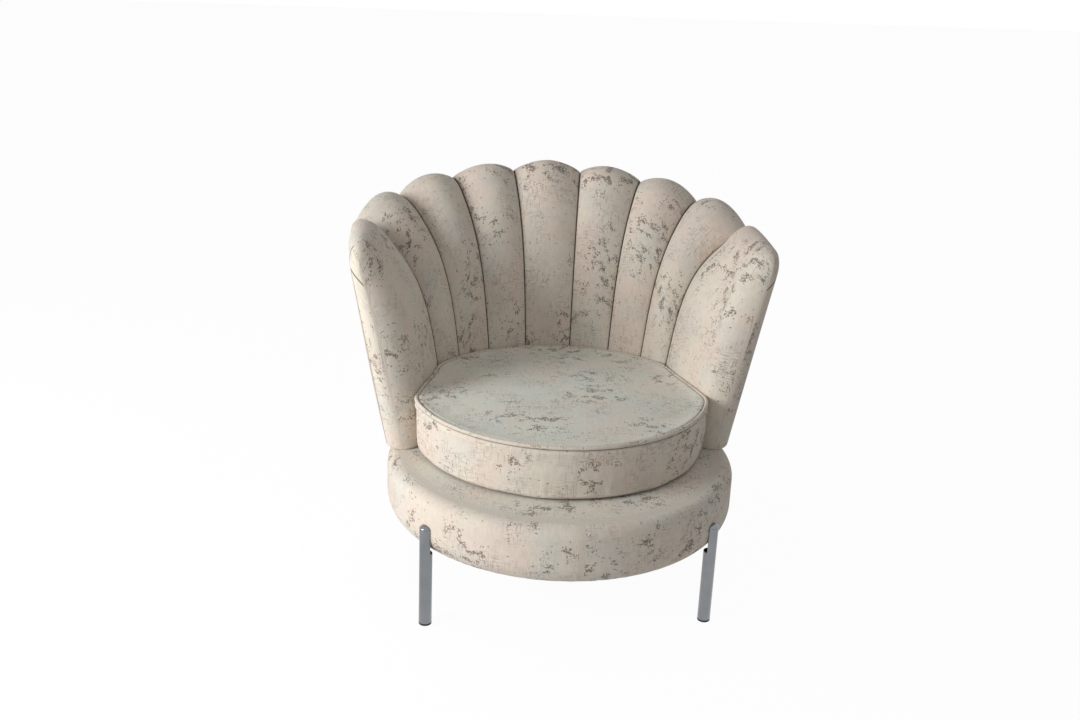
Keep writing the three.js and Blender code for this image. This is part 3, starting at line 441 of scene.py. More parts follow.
outerSeam = back["seams"][-1]


def cornerShare(az):
    return np.cos(rad(az)) * np.sin(2 * rad(az)) ** 2


def shiftedCircle(radius, shift, az):
    return shift * np.cos(rad(az)) + np.sqrt(radius ** 2 - (shift * np.sin(rad(az))) ** 2)


def valleyTop(az):
    return back["valleyTop"] - back["valleyDrop"] * (min(abs(az), outerSeam) / outerSeam) ** 2


def rimTop(az, full):
    crest = back["crestTop"] - back["crestDrop"] * (az / outerSeam) ** back["crestPower"]
    return valleyTop(az) + (max(crest, back["armTop"]) - valleyTop(az)) * full


# The outer seams fan out a little towards the rim
def fanned(az, heights):
    turn = abs(az)
    rise = np.clip((heights - back["fanStart"]) / (valleyTop(az) - back["fanStart"]), 0, 1)
    forward = max(0, (back["armCrest"] - turn) / (back["armCrest"] - outerSeam))
    spread = (turn / outerSeam) ** 8 if turn < outerSeam else forward ** 2
    return az + math.copysign(back["fanAngle"] * spread, az) * rise ** 6


def ringPoints(loop, az):
    return polar(loop[:, 0], np.radians(fanned(az, loop[:, 1])), loop[:, 1])


def grooveRadius(az, share):
    b = back
    opening = 0.5 * share + 0.5 * share ** 5
    draw = 1 - b["sideDraw"] * (1 - opening) * math.sin(rad(az)) ** 2
    radius = (b["seatRadius"] + (b["rimRadius"] - b["seatRadius"]) * opening) * draw
    return shiftedCircle(radius, b["rimShift"] * opening, az)


def crownAt(az, share, full):
    b = back
    if az >= outerSeam:
        forward = max(0, (az - b["armCrest"]) / (b["armTip"] - b["armCrest"]))
        return b["armCrown"] * full * (1 - b["armFade"] * forward ** 2) + 0 * share
    return (b["lowCrown"] + (b["crown"] - b["lowCrown"]) * smooth(share, 0.2, 0.5)) * full


def outerRadius(az, share):
    radius = back["outerBase"] + (back["outerRim"] - back["outerBase"]) * share
    return shiftedCircle(radius, back["rimShift"] * share, az) + back["rimCorner"] * share * cornerShare(az)


def rollStart(az, full):
    return rimTop(az, full) - back["rollRise"] - back["rollRiseCorner"] * cornerShare(az)


def seamHeight(az, full):
    return rimTop(az, full) - back["closingDrop"]


def fullnessAt(az):
    az = abs(az)
    if az >= outerSeam:
        return 1 - abs(min(0, (az - back["armCrest"]) / (back["armCrest"] - outerSeam))) ** 2.4
    edges = (-back["seams"][0],) + back["seams"]
    i = max(k for k in range(len(edges)) if az >= edges[k])
    u = 2 * (az - edges[i]) / (edges[i + 1] - edges[i]) - 1
    return max(0.0, 1 - u * u)


# (radius, height) of the face from foot to rim and the roll over it; edge 0..1 sinks it at a seam
def faceAndRoll(az, full, edge):
    b = back
    start = rollStart(az, full)
    share = np.linspace(0, 1, b["faceSteps"])
    radius = grooveRadius(az, share) - crownAt(az, share, full)
    face = np.stack([radius, b["foot"] + (start - b["foot"]) * share], axis=-1)
    end = np.array([outerRadius(az, 1), seamHeight(az, full)])
    foot = np.array([outerRadius(az, 0), b["foot"]])
    handle = b["rollReach"] + b["rollReachCorner"] * cornerShare(az)
    arrive = end + handle * (end - foot) / np.linalg.norm(end - foot)
    leave = face[-1] + handle * math.sqrt(0.5)
    t = np.linspace(0, 1, b["rollSteps"] + 1)[1:, None]
    roll = (1 - t) ** 3 * face[-1] + 3 * (1 - t) ** 2 * t * leave
    roll = roll + 3 * (1 - t) * t * t * arrive + t ** 3 * end
    line = np.concatenate([face, roll])
    tangent = np.gradient(line, axis=0)
    tangent /= np.linalg.norm(tangent, axis=1)[:, None]
    inward = np.stack([-tangent[:, 1], tangent[:, 0]], axis=-1)
    fade = 1 - smooth(np.arange(len(line)), len(line) - 7, len(line) - 1) * 0.6
    return line - inward * (b["grooveDepth"] * edge * fade)[:, None]


def shellRadius(az, height, offset):
    share = (height - back["foot"]) / (rollStart(az, fullnessAt(az)) - back["foot"])
    return grooveRadius(az, share) + back["innerPad"] + offset


# The hidden side of a channel, over the shell's rim and down its face, paired with the line
def hiddenPath(az, line):
    b = back
    full = fullnessAt(az)
    gap = b["clearance"]
    seam = seamHeight(az, full) + 0.001
    top = rimTop(az, full) - b["shellRimPad"] + gap
    outside = shellRadius(az, seam, b["shell"] + gap)
    over = np.array([(outerRadius(az, 1) - b["cover"] / 2, seam), (outside, seam),
                     (shellRadius(az, top, b["shell"] + gap), top), (shellRadius(az, top, -gap), top)])
    heights = np.minimum(line[:b["faceSteps"], 1], top)[::-1]
    down = np.stack([shellRadius(az, heights, -gap), heights], axis=-1)
    return np.concatenate([resampled(over, b["rollSteps"]), down])


# Straight down the outside to the foot and in under the pad, for the arm's front
def openPath(line):
    foot = np.array([outerRadius(back["shellEnd"], 0), back["foot"]])
    path = np.array([line[-1], foot, (line[0] * 2 + foot) / 3])
    return resampled(path, len(line) + 1)[1:]


def narrowed(loop, share):
    b = back
    foot = (loop[0, 0] + outerRadius(b["shellEnd"], 0)) / 2
    crest = loop[np.argmax(loop[:, 1])]
    rise = (loop[:, 1] - b["foot"]) / (crest[1] - b["foot"])
    middle = foot + (crest[0] - foot) * rise
    drop = b["armTipDrop"] * (1 - share) * np.clip(rise, 0, 1) ** 3
    return np.stack([middle + (loop[:, 0] - middle) * share, loop[:, 1] - drop], axis=-1)


def channelLoops(low, high, side):
    b = back
    loops, azimuths, edges = [], [], []

    def add(az, full, u):
        edge = 1 - (1 - min(1, abs(u)) ** 16) ** 0.5
        line = faceAndRoll(abs(az), full, edge)
        loops.append(np.concatenate([line, hiddenPath(abs(az), line)]))
        azimuths.append(az)
        edges.append(abs(u))

    if side == 0:
        for t in np.linspace(-1, 1, b["acrossSteps"] + 1):
            u = math.sin(math.pi / 2 * t)
            add((low + high) / 2 + (high - low) / 2 * u * 0.999, 1 - u * u, u)
        return loops, azimuths, edges
    span = b["armCrest"] - outerSeam
    for t in np.linspace(0, 1, b["acrossSteps"]):
        az = outerSeam + (b["shellEnd"] - outerSeam) * (1 - math.cos(math.pi / 2 * t)) + 0.008
        u = max(0.0, 1 - (az - outerSeam) / span)
        add(az, 1 - u ** 2.4, u)
    whole = faceAndRoll(b["shellEnd"], 1, 0)
    whole = np.concatenate([whole, openPath(whole)])
    for i in range(b["tipSteps"] + 1):
        turn = rad(b["tipTurn"]) * i / b["tipSteps"]
        loops.append(narrowed(whole, math.cos(turn)))
        azimuths.append(b["shellEnd"] + 0.02 + (b["armTip"] - b["shellEnd"]) * math.sin(turn))
        edges.append(0)
    return loops, azimuths, edges


# Small gathers where the cloth is pulled into the seams, fading out over the pad
def puckers(rings, along, edges, index):
    b = back
    half = rings.shape[1] // 2
    wave = 0
    for height, pitch, offset in b["puckerWaves"]:
        wave = wave + height * np.sin(along * 2 * math.pi / pitch + index * offset)
    wave = wave / 2.2   # the sum of their heights
    normals = np.cross(np.gradient(rings, axis=0), np.gradient(rings, axis=1))
    normals /= np.maximum(np.linalg.norm(normals, axis=2), 1e-9)[..., None]
    width = np.linalg.norm(rings[0] - rings[len(rings) // 2], axis=1).mean()
    off = (1 - edges) * width
    reach = np.exp(-off / b["puckerReach"]) * smooth(off, 0.0, 0.004)
    shift = b["puckerDepth"] * reach[:, None] * wave[None, :]
    shift[:, half:] = 0
    return rings + normals * shift[..., None]


def makeChannel(index, low, high, side=0):
    loops, azimuths, edges = channelLoops(low, high, side)
    azimuths = [az * (side or 1) for az in azimuths]
    rings = np.array([ringPoints(loop, az) for loop, az in zip(loops, azimuths)])
    edges = np.array(edges)
    half = rings.shape[1] // 2
    along = arcLength(rings[len(rings) // 2])
    across = arcLength(rings[:, back["faceSteps"] - 1])
    rings = puckers(rings, along, edges, index)
    uvs = gridPlaces(across + index * 0.37, along + index * 1.13)
    width = across[-1] / 2 if side == 0 else across[-1]
    # Painted shade: the velvet darkens within a few millimetres of each seam between channels, where shade
    # falls in the groove
    off = (1 - edges)[:, None] * width / back["creaseReach"]
    crease = np.clip(1 - off, 0, 1) * np.ones(rings.shape[1])
    crease[:, half - 1] = 1   # painted shade along the closing seam
    if side:   # and a painted dark line for the shade in the seam at the cover's edge on the front of an arm
        crease[back["acrossSteps"] + back["tipSeam"], half - back["rollSteps"] // 2:] = 1
    faces = pairedFaces(*rings.shape[:2])
    mesh = meshFrom("channelPad_%d" % index, rings, faces, uvs, crease=crease)
    return mesh, rings.shape, edges


seamList = [-a for a in reversed(back["seams"])] + list(back["seams"])
spans = [(0, 0, -1)] + [(seamList[i], seamList[i + 1], 0) for i in range(len(seamList) - 1)] + [(0, 0, 1)]
channels = [makeChannel(i + 1, *span) for i, span in enumerate(spans)]
print("channels lofted")


# Seat cushion: its outline follows the channels behind and a plain arc in front
seat = {"bottom": 0.2678, "edge": 0.377, "crown": 0.017, "sideGap": 0.002, "frontRadius": 0.303,
        "frontShift": 0.062, "drawIn": 0.002, "bulge": 0.005, "edgeRound": 0.014, "welt": 0.0040,
        "weltProud": 0.0018, "weltRise": 0.0008, "steps": 288, "cornerPasses": 14,
        # The last number in each welt row is painted shade for the crease beside the welt
        "underWelt": ((0.008, 0.0001, 0), (0.0055, 0.0012, 0.25), (0.0035, 0.0034, 0.8), (0, 0.005, 0.8)),
        "overWelt": ((0.0062, 0.0015, 0.6), (0.0085, 0.0034, 0.2), (0.011, 0.0040, 0))}
seatAngles = np.linspace(-math.pi, math.pi, seat["steps"] + 1)[:-1]


def faceRadiusAt(az, height):
    if az > back["shellEnd"]:
        turn = math.asin(min(1, (az - back["shellEnd"]) / (back["armTip"] - back["shellEnd"])))
        whole = faceAndRoll(back["shellEnd"], 1, 0)
        line = narrowed(np.concatenate([whole, openPath(whole)]), max(0.3, math.cos(turn)))
    else:
        line = faceAndRoll(az, 1 if az < outerSeam else fullnessAt(az), 0)
    line = line[:back["faceSteps"]]
    return np.interp(height, line[:, 1], line[:, 0])


def seatOutline(height):
    s = seat
    rise = (height - s["bottom"]) / (s["edge"] - s["bottom"])
    swell = 4 * s["bulge"] * rise * (1 - rise) - s["drawIn"] * (1 - rise) ** 2
    front = s["frontShift"] * np.cos(seatAngles)
    front += np.sqrt(s["frontRadius"] ** 2 - (s["frontShift"] * np.sin(seatAngles)) ** 2) + swell
    turns = np.abs(np.degrees(seatAngles))
    behind = [faceRadiusAt(t, height) - s["sideGap"] if t <= back["armTip"] else 9 for t in turns]
    radii = np.minimum(front, behind)
    for _ in range(s["cornerPasses"]):   # rounds the corners where the front arc meets the arms
        radii = np.minimum(radii, (np.roll(radii, 1) + 2 * radii + np.roll(radii, -1)) / 4)
    return radii


def makeCushion(s):
    rings, crease = [], []
    edge = seatOutline(s["edge"])
    bottom = seatOutline(s["bottom"])

    def add(radii, heights, dark=0.0):
        rings.append(polar(radii, seatAngles, heights))
        crease.append(dark)

    for share in (0.004, 0.25, 0.5, 0.75, 0.9, 0.97):
        add((bottom - s["edgeRound"]) * share, s["bottom"])
    # Painted shade: the rounded lower edge darkens most where the cushion meets the drum
    for turn in np.radians(np.linspace(0, 90, 9)):
        height = s["bottom"] + s["edgeRound"] * (1 - math.cos(turn))
        add(seatOutline(height) - s["edgeRound"] * (1 - math.sin(turn)), height, 0.9 * math.cos(turn) ** 2)
    for height in np.linspace(s["bottom"] + s["edgeRound"], s["edge"] - 0.012, 12)[1:]:
        add(seatOutline(height), height)
    # The rows next to the welt carry painted shade in its creases
    for below, sink, dark in s["underWelt"]:
        add(seatOutline(s["edge"] - below) - sink, s["edge"] - below, dark)
    bandRows = len(rings)
    for inset, above, dark in s["overWelt"]:
        add(edge - inset, s["edge"] + above, dark)
    shares = np.concatenate([1 - 0.5 * np.linspace(0, 1, 20)[1:] ** 1.4, np.linspace(0.5, 0.004, 14)[1:]])
    for share in shares:
        add((edge - inset) * share, s["edge"] + above + (s["crown"] - above) * (1 - share ** 2.4))
    rings = np.array(rings)
    uv = np.empty(rings.shape[:2] + (2,))
    uv[..., 0] = rings[..., 0] + 15.0
    uv[..., 1] = rings[..., 1]
    uv[6:bandRows, :, 0] = arcLength(rings[16])
    uv[6:bandRows, :, 1] = rings[6:bandRows, :, 2] + 12.0
    rows, count = rings.shape[:2]
    faces = cappedFaces(rows, count)
    dark = np.array(crease)[:, None] * np.ones(count)
    # The top takes the flat colour: the nap's own tone and painted sheen on the top face
    nap = np.where(np.arange(rows) > bandRows, 1.0, 0.0)[:, None] * np.ones(count)
    mesh = meshFrom("seatCushion", rings, faces, uv, crease=dark, nap=nap)
    return mesh, rings.shape, bandRows


cushion, cushionShape, bandRows = makeCushion(seat)


# The stuffing: each pad is a cloth skin under a little pressure, held along its seams and where hidden
stuffing = {"pressure": 4.0, "frames": 20, "cap": 0.0045, "seatCap": 0.006, "quality": 5, "stiffness": 12,
            "shear": 4, "bending": 0.6}


def pointsOf(mesh):
    flat = np.empty(len(mesh.vertices) * 3, np.float32)
    mesh.vertices.foreach_get("co", flat)
    return flat.reshape(-1, 3).astype(float)


def clothOn(mesh, held, s):
    obj = newObject("stuffed_" + mesh.name, mesh)
    group = obj.vertex_groups.new(name="held")
    for i in np.flatnonzero(held > 0):
        group.add([int(i)], float(held[i]), "REPLACE")
    cloth = obj.modifiers.new("skin", "CLOTH")
    settings = cloth.settings
    settings.quality = s["quality"]
    settings.use_pressure = True
    settings.uniform_pressure_force = s["pressure"]
    settings.vertex_group_mass = "held"
    settings.tension_stiffness = settings.compression_stiffness = s["stiffness"]
    settings.shear_stiffness = s["shear"]
    settings.bending_stiffness = s["bending"]
    settings.effector_weights.gravity = 0
    cloth.collision_settings.use_collision = False
    return obj


# Moves each mesh to its stuffed shape; a job is a mesh, its held weights and the furthest it may move
def stuff(jobs):
    scene = bpy.context.scene
    scene.frame_start, scene.frame_end = 1, stuffing["frames"]
    objects = [clothOn(mesh, held, stuffing) for mesh, held, cap in jobs]
    for step in range(1, stuffing["frames"] + 1):
        scene.frame_set(step)
    for obj, (mesh, held, cap) in zip(objects, jobs):
        baked = bakedMesh(obj)
        before, after = pointsOf(mesh), pointsOf(baked)
        moved = after - before
        length = np.maximum(np.linalg.norm(moved, axis=1), 1e-9)
        moved *= (cap * np.tanh(length / cap) / length * (1 - held))[:, None]
        print("  stuffed", mesh.name, "furthest", round(float(np.linalg.norm(moved, axis=1).max()), 4))
        mesh.vertices.foreach_set("co", (before + moved).astype(np.float32).ravel())
        mesh.update()
        bpy.data.meshes.remove(baked)
    for obj in objects:
        bpy.data.objects.remove(obj)
    scene.frame_set(1)


def heldChannel(shape, edges):
    held = np.zeros(shape[:2])
    held[:, shape[1] // 2 - 2:] = 1
    held[:, 0] = 1
    held[:, 1:4] = np.array([0.8, 0.5, 0.2])
    held[edges > 0.985] = 1
    return held.ravel()


def heldCushion(shape):
    held = np.zeros(shape[:2])
    held[:7] = 1
    held[bandRows - 5:bandRows + 3] = 1
    return held.ravel()


jobs = [(mesh, heldChannel(shape, edges), stuffing["cap"]) for mesh, shape, edges in channels]
jobs.append((cushion, heldCushion(cushionShape), stuffing["seatCap"]))
stuff(jobs)
print("pads stuffed")


# A channel keeps to its own side of the seams, whatever the stuffing did
def keptBetweenSeams(mesh, low, high, side):
    points = pointsOf(mesh)
    planar = np.stack([points[:, 0], points[:, 1] - drumY], axis=-1)
    radius = np.linalg.norm(planar, axis=1)
    azimuth = np.degrees(np.arctan2(planar[:, 0], planar[:, 1]))
    edges = [outerSeam * side] if side else [low, high]
    for seam in edges:
        limit = np.array([float(fanned(seam, z)) for z in points[:, 2]])
        inner = seam < (low + high) / 2 if side == 0 else side > 0
        azimuth = np.maximum(azimuth, limit) if inner else np.minimum(azimuth, limit)
    points = polar(radius, np.radians(azimuth), points[:, 2])
    mesh.vertices.foreach_set("co", points.astype(np.float32).ravel())


for index, ((mesh, shape, edges), span) in enumerate(zip(channels, spans)):
    keptBetweenSeams(mesh, *span)
    smoothMesh = evaluatedMesh(mesh, "SUBSURF", levels=1, render_levels=1)
    pad = finishPiece(mesh.name, smoothMesh, "velvet", ["channel_%d" % (index + 1)])
print("channels made")

seatNodes = ["seat_foam", "seat_top_panel", "seat_bottom_panel", "seat_band"]
finishPiece("seatCushion", cushion, "velvet", seatNodes)


def makeWelt(s):
    radii = seatOutline(s["edge"]) - s["welt"] + s["weltProud"]
    angles = np.linspace(0, 2 * math.pi, 15)[:-1]
    height = s["edge"] + s["weltRise"]
    rings = np.array([polar(radii + s["welt"] * math.cos(a), seatAngles, height + s["welt"] * math.sin(a))
                      for a in angles]).transpose(1, 0, 2)
    uvs = gridPlaces(arcLength(rings[:, 0]), np.linspace(0, 0.024, 14) + 20.0)
    mesh = meshFrom("seatWelt", rings, gridFaces(*rings.shape[:2], True), uvs)
    return finishPiece("seatWelt", mesh, "velvet", ["seat_piping"])


makeWelt(seat)
print("cushion made")


# Plain outer cover of the back, pulled tight from its foot to the closing seam
cover = {"rings": 161, "steps": 44, "swell": 0.003, "gather": 0.0012, "gathers": 46, "tuck": 0.003,
         "proud": 0.0004, "creaseShare": 0.009}


def makeOuterCover(s):
    b = back
    azimuths = np.linspace(-b["shellEnd"], b["shellEnd"], s["rings"])
    t = np.linspace(0, 1, s["steps"])
    rings = []
    for az in azimuths:
        top = np.array([outerRadius(abs(az), 1) + s["proud"], seamHeight(abs(az), fullnessAt(az))])
        foot = np.array([outerRadius(abs(az), 0), b["foot"]])
        outer = foot + (top - foot) * t[:, None]
        gather = s["gather"] * np.sin(rad(az) * s["gathers"]) * smooth(t, 0.7, 0.99)
        outer[:, 0] += s["swell"] * np.sin(np.pi * t) ** 0.7 + gather
        outer[:, 0] += s["tuck"] * (smooth(t, 0.0, 0.03) * (1 - smooth(t, 0.975, 1.0)) - 1)
        inner = np.stack([outer[::-1, 0] - b["cover"], outer[::-1, 1]], axis=-1)
        rings.append(ringPoints(np.concatenate([outer, inner]), az))
    rings = np.array(rings)
    uvs = gridPlaces(arcLength(rings[:, s["steps"] // 2]) + 4.3, arcLength(rings[s["rings"] // 2]) + 2.1)
    # Painted shade along the top, where the cover tucks into the closing seam
    dark = np.maximum(1 - (1 - t) / s["creaseShare"], 0)
    crease = np.ones(len(azimuths))[:, None] * np.concatenate([dark, 0 * dark])
    faces = pairedFaces(*rings.shape[:2])
    mesh = meshFrom("outerBackCover", rings, faces, uvs, crease=crease)
    return finishPiece("outerBackCover", mesh, "velvet", ["outer_cover"])


makeOuterCover(cover)


# Drum cover: sides, rounded lower edge and deck in one, the deck's seam sunk a little
drum = {"radius": 0.350, "bottom": 0.143, "top": 0.2675, "bottomRound": 0.048, "topRound": 0.024,
        "mouth": 0.3018, "sidePad": 0.010, "deckPad": 0.016, "seam": 0.285, "seamSink": 0.0004,
        "steps": 192, "lip": 0.004, "board": 0.0265, "centre": 0.004, "gather": 0.0007,
        "dustRise": 0.0262, "dustInset": 0.005}


def arcPoints(centre, radius, fromAngle, toAngle, steps):
    angles = np.radians(np.linspace(fromAngle, toAngle, steps + 1))
    return np.stack([centre[0] + radius * np.cos(angles), centre[1] + radius * np.sin(angles)], axis=-1)


def makeDrumCover(s):
    r, low, top = s["radius"], s["bottom"], s["top"]
    bottomArc = arcPoints((r - s["bottomRound"], low + s["bottomRound"]), s["bottomRound"], -90, 0, 18)
    topArc = arcPoints((r - s["topRound"], top - s["topRound"]), s["topRound"], 0, 90, 10)
    side = np.linspace(bottomArc[-1], topArc[0], 8)[1:-1]
    deck = np.array([(r - s["topRound"] - 0.02, top), (s["seam"] + 0.006, top),
                     (s["seam"], top - s["seamSink"]), (s["seam"] - 0.006, top)])
    deck = np.concatenate([deck, np.linspace(deck[-1], (s["centre"], top), 14)[1:]])
    ceiling, floorTop = top - s["deckPad"], low + s["board"]
    wall, lip = r - s["sidePad"], s["mouth"] - s["lip"]
    under = [(s["centre"], ceiling), (wall, ceiling), (wall, floorTop), (lip, floorTop),
             (lip, low + s["lip"])]
    profile = np.concatenate([bottomArc, side, topArc, deck, under])
    visible = len(bottomArc) + len(side) + len(topArc)
    angles = np.linspace(-math.pi, math.pi, s["steps"] + 1)[:-1]
    gather = np.interp(np.arange(len(profile)), [0, 4, 9], [1, 0.6, 0])
    wave = s["gather"] * (np.sin(angles * 58) + 0.6 * np.sin(angles * 91 + 1))
    rings = np.array([polar(profile[:, 0], a, profile[:, 1] - w * gather) for a, w in zip(angles, wave)])
    along = arcLength(profile)
    uvs = np.empty(rings.shape[:2] + (2,))
    uvs[..., 0] = (angles * r)[:, None]
    uvs[..., 1] = along + 6.0
    uvs[:, visible:, 0] = rings[:, visible:, 0] + 9.0
    uvs[:, visible:, 1] = rings[:, visible:, 1]
    # The deck takes half of the flat colour, ramping in over the top edge: nap tone and painted sheen
    flat = smooth(np.arange(len(profile)), visible - 6, visible + 1)
    faces = spunFaces(*rings.shape[:2], visible + len(deck) - 1, visible + len(deck))
    nap = np.ones(len(angles))[:, None] * flat * 0.5
    mesh = meshFrom("drumCover", rings, faces, uvs, nap=nap)
    return finishPiece("drumCover", mesh, "velvet", ["drum_cover", "deck_panel"])


makeDrumCover(drum)


def makeDustCloth(s):
    rim = s["mouth"] - s["dustInset"]
    radii = np.array([0.002, rim, rim, 0.2, 0.1, 0.002])
    sag = np.array([0.001, 0.001, 0.0016, 0.0028, 0.0036, 0.004])   # the lower side hangs through a little
    angles = np.linspace(0, 2 * math.pi, 97)[:-1]
    rings = np.array([polar(radii, a, s["bottom"] + s["dustRise"] - sag) for a in angles])
    faces = spunFaces(*rings.shape[:2], len(radii) - 1, 0)
    mesh = meshFrom("underDustCloth", rings, faces)
    piece = finishPiece("underDustCloth", mesh, "dustCloth", ["dust_cover"])


makeDustCloth(drum)
print("drum made")


# Legs: fine tubes, half notched where they carry the drum, with domed half caps and black feet
leg = {"radius": 0.0125, "wall": 0.002, "bottom": 0.0043, "ledge": 0.153, "top": 0.205, "axis": 0.3503,
       "turn": 51.4, "dome": 0.006, "stem": 0.042, "gap": 0.0003, "sides": 64, "bevel": 0.0005,
       "footRound": 0.0012, "footRim": 0.004, "plug": 0.022}
corners = {"front_right": 180 - leg["turn"], "rear_right": leg["turn"], "rear_left": -leg["turn"],
           "front_left": leg["turn"] - 180}


# Turns points made with their outer side towards +Y to their place on the leg circle
def onLeg(points, azimuth):
    cos, sin = math.cos(rad(azimuth)), math.sin(rad(azimuth))
    x, y = points[..., 0], points[..., 1] + leg["axis"]
    return np.stack([x * cos + y * sin, -x * sin + y * cos + drumY, points[..., 2]], axis=-1)


def makeLegTube(place, azimuth, s):
    sides = s["sides"]
    angles = np.linspace(0, 2 * math.pi, sides + 1)[:-1]
    levels = (s["bottom"], s["ledge"], s["top"])
    points, faces = [], []
    for angle in angles:
        for radius in (s["radius"], s["radius"] - s["wall"]):
            points += [(radius * math.cos(angle), radius * math.sin(angle), z) for z in levels]

    def addFace(*corners):
        faces.append(tuple((k % sides) * 6 + wall * 3 + level for k, wall, level in corners))

    for k in range(sides):
        tops = 2 if k < sides // 2 else 1   # the first half of the turn is the outer, taller side
        n = k + 1
        for low in range(tops):
            addFace((k, 0, low), (n, 0, low), (n, 0, low + 1), (k, 0, low + 1))
            addFace((k, 1, low), (k, 1, low + 1), (n, 1, low + 1), (n, 1, low))
        addFace((k, 0, tops), (n, 0, tops), (n, 1, tops), (k, 1, tops))
        addFace((k, 0, 0), (k, 1, 0), (n, 1, 0), (n, 0, 0))
    for k in (0, sides // 2):
        addFace((k, 0, 1), (k, 0, 2), (k, 1, 2), (k, 1, 1))
    used = sorted({i for face in faces for i in face})
    order = {old: new for new, old in enumerate(used)}
    placed = onLeg(np.array(points)[used], azimuth)
    mesh = meshFrom("legTube_" + place, placed, [tuple(order[i] for i in face) for face in faces])
    bevelled = evaluatedMesh(mesh, "BEVEL", width=s["bevel"], segments=2, limit_method="ANGLE",
                             angle_limit=rad(40))
    finishPiece(mesh.name, bevelled, "chrome", ["leg_" + place], 35)


# Loops from bottom to top of (radius, height), round the whole circle or its outer half
def turnedMesh(name, profile, azimuth, wholeTurn):
    angles = np.linspace(0, 2 * math.pi, leg["sides"] + 1)[:-1]
    if not wholeTurn:
        angles = np.linspace(0, math.pi, leg["sides"] // 2 + 1)
    rings = np.array([[(r * math.cos(a), r * math.sin(a), z) for a in angles] for r, z in profile])
    return meshFrom(name, onLeg(rings, azimuth), cappedFaces(*rings.shape[:2]))


def makeLegEnds(place, azimuth, s):
    r = s["radius"]
    bore = r - s["wall"] - s["gap"]
    headLow = s["top"] + s["gap"]
    rises = np.radians(np.linspace(0, 88, 12))
    dome = [(r * math.cos(e), headLow + s["dome"] * math.sin(e)) for e in rises]
    cap = [(bore, s["top"] - s["stem"]), (bore, headLow), *dome]
    mesh = turnedMesh("legCap_" + place, cap, azimuth, False)
    finishPiece(mesh.name, mesh, "chrome", ["leg_cap_" + place], 40)
    rises = np.radians(np.linspace(0, 90, 5))
    foot = [(r - s["footRound"] * (1 - math.sin(e)), s["footRound"] * (1 - math.cos(e))) for e in rises]
    foot += [(r, s["footRim"]), (bore, s["footRim"]), (bore, s["plug"])]
    mesh = turnedMesh("footCap_" + place, foot, azimuth, True)
    finishPiece(mesh.name, mesh, "footPlastic", ["foot_cap_" + place], 40)


for place, azimuth in corners.items():
    makeLegTube(place, azimuth, leg)
    makeLegEnds(place, azimuth, leg)
print("legs made")


# Bars set at even steps along a path: stitches, staples and the teeth of a zip
def makeRunOfBars():
    tree, given, out = makeGroup(
        "runOfBars", "GeometryNodeTree",
        {"Path": "Geometry", "Spacing": "Float", "Length": "Float", "Radius": "Float",
         "Upright": "Float", "Lean": "Float", "Material": "Material"}, {"Bars": "Geometry"})
    curve = addNode(tree, "GeometryNodeMeshToCurve", {"Mesh": given["Path"]}).outputs[0]
    values = {"Curve": curve, "Length": given["Spacing"]}
    stops = addNode(tree, "GeometryNodeResampleCurve", values, mode="LENGTH").outputs[0]
    sizes = {"Vertices": 8, "Radius": given["Radius"], "Depth": given["Length"]}
    bar = addNode(tree, "GeometryNodeMeshCylinder", sizes).outputs["Mesh"]
    tangent = addNode(tree, "GeometryNodeInputTangent").outputs[0]
    heading = addNode(tree, "ShaderNodeMix", data_type="VECTOR")
    setInputs(tree, heading, {0: given["Upright"], 4: tangent, 5: (0, 0, 1)})
    bend = addNode(tree, "FunctionNodeRandomValue", {"Min": (-1, -1, -1), "Max": (1, 1, 1), "Seed": 7},
                   data_type="FLOAT_VECTOR").outputs[0]
    lean = addNode(tree, "ShaderNodeVectorMath", {0: bend, "Scale": given["Lean"]}, operation="SCALE")
    values = {0: heading.outputs[1], 1: lean.outputs[0]}
    aim = addNode(tree, "ShaderNodeVectorMath", values, operation="ADD").outputs[0]
    turn = addNode(tree, "FunctionNodeAlignRotationToVector", {"Vector": aim}, axis="Z").outputs[0]
    values = {"Points": stops, "Instance": bar, "Rotation": turn}
    placed = addNode(tree, "GeometryNodeInstanceOnPoints", values)
    real = addNode(tree, "GeometryNodeRealizeInstances", {"Geometry": placed.outputs[0]}).outputs[0]
    painted = addNode(tree, "GeometryNodeSetMaterial", {"Geometry": real, "Material": given["Material"]})
    tree.links.new(painted.outputs[0], out["Bars"])
    return tree


runOfBars = makeRunOfBars()


def barsAlong(name, points, finish, closed, values):
    edges = [(i, i + 1) for i in range(len(points) - 1)] + ([(len(points) - 1, 0)] if closed else [])
    carrier = newObject("carrier", meshFrom(name, points, [], edges=edges))
    modifier = carrier.modifiers.new("bars", "NODES")
    modifier.node_group = runOfBars
    values = dict(values, Material=finishes[finish])
    for item in runOfBars.interface.items_tree:
        if item.in_out == "INPUT" and item.name in values:
            modifier[item.identifier] = values[item.name]
    made = bakedMesh(carrier)
    carrier.modifiers.remove(modifier)
    bpy.data.objects.remove(carrier)
    finishPiece(name, made, finish)


smallWork = {
    "stitches": {"Spacing": 0.009, "Length": 0.004, "Radius": 0.00035, "Lean": 0.12},
    "staples": {"Spacing": 0.034, "Length": 0.010, "Radius": 0.0005, "Lean": 0.25},
    "zipTeeth": {"Spacing": 0.0026, "Length": 0.0055, "Radius": 0.0007, "Upright": 1.0},
    "stapleInset": 0.012, "stapleRise": 0.0250, "zipHeight": 0.322, "zipTurn": 42,
}


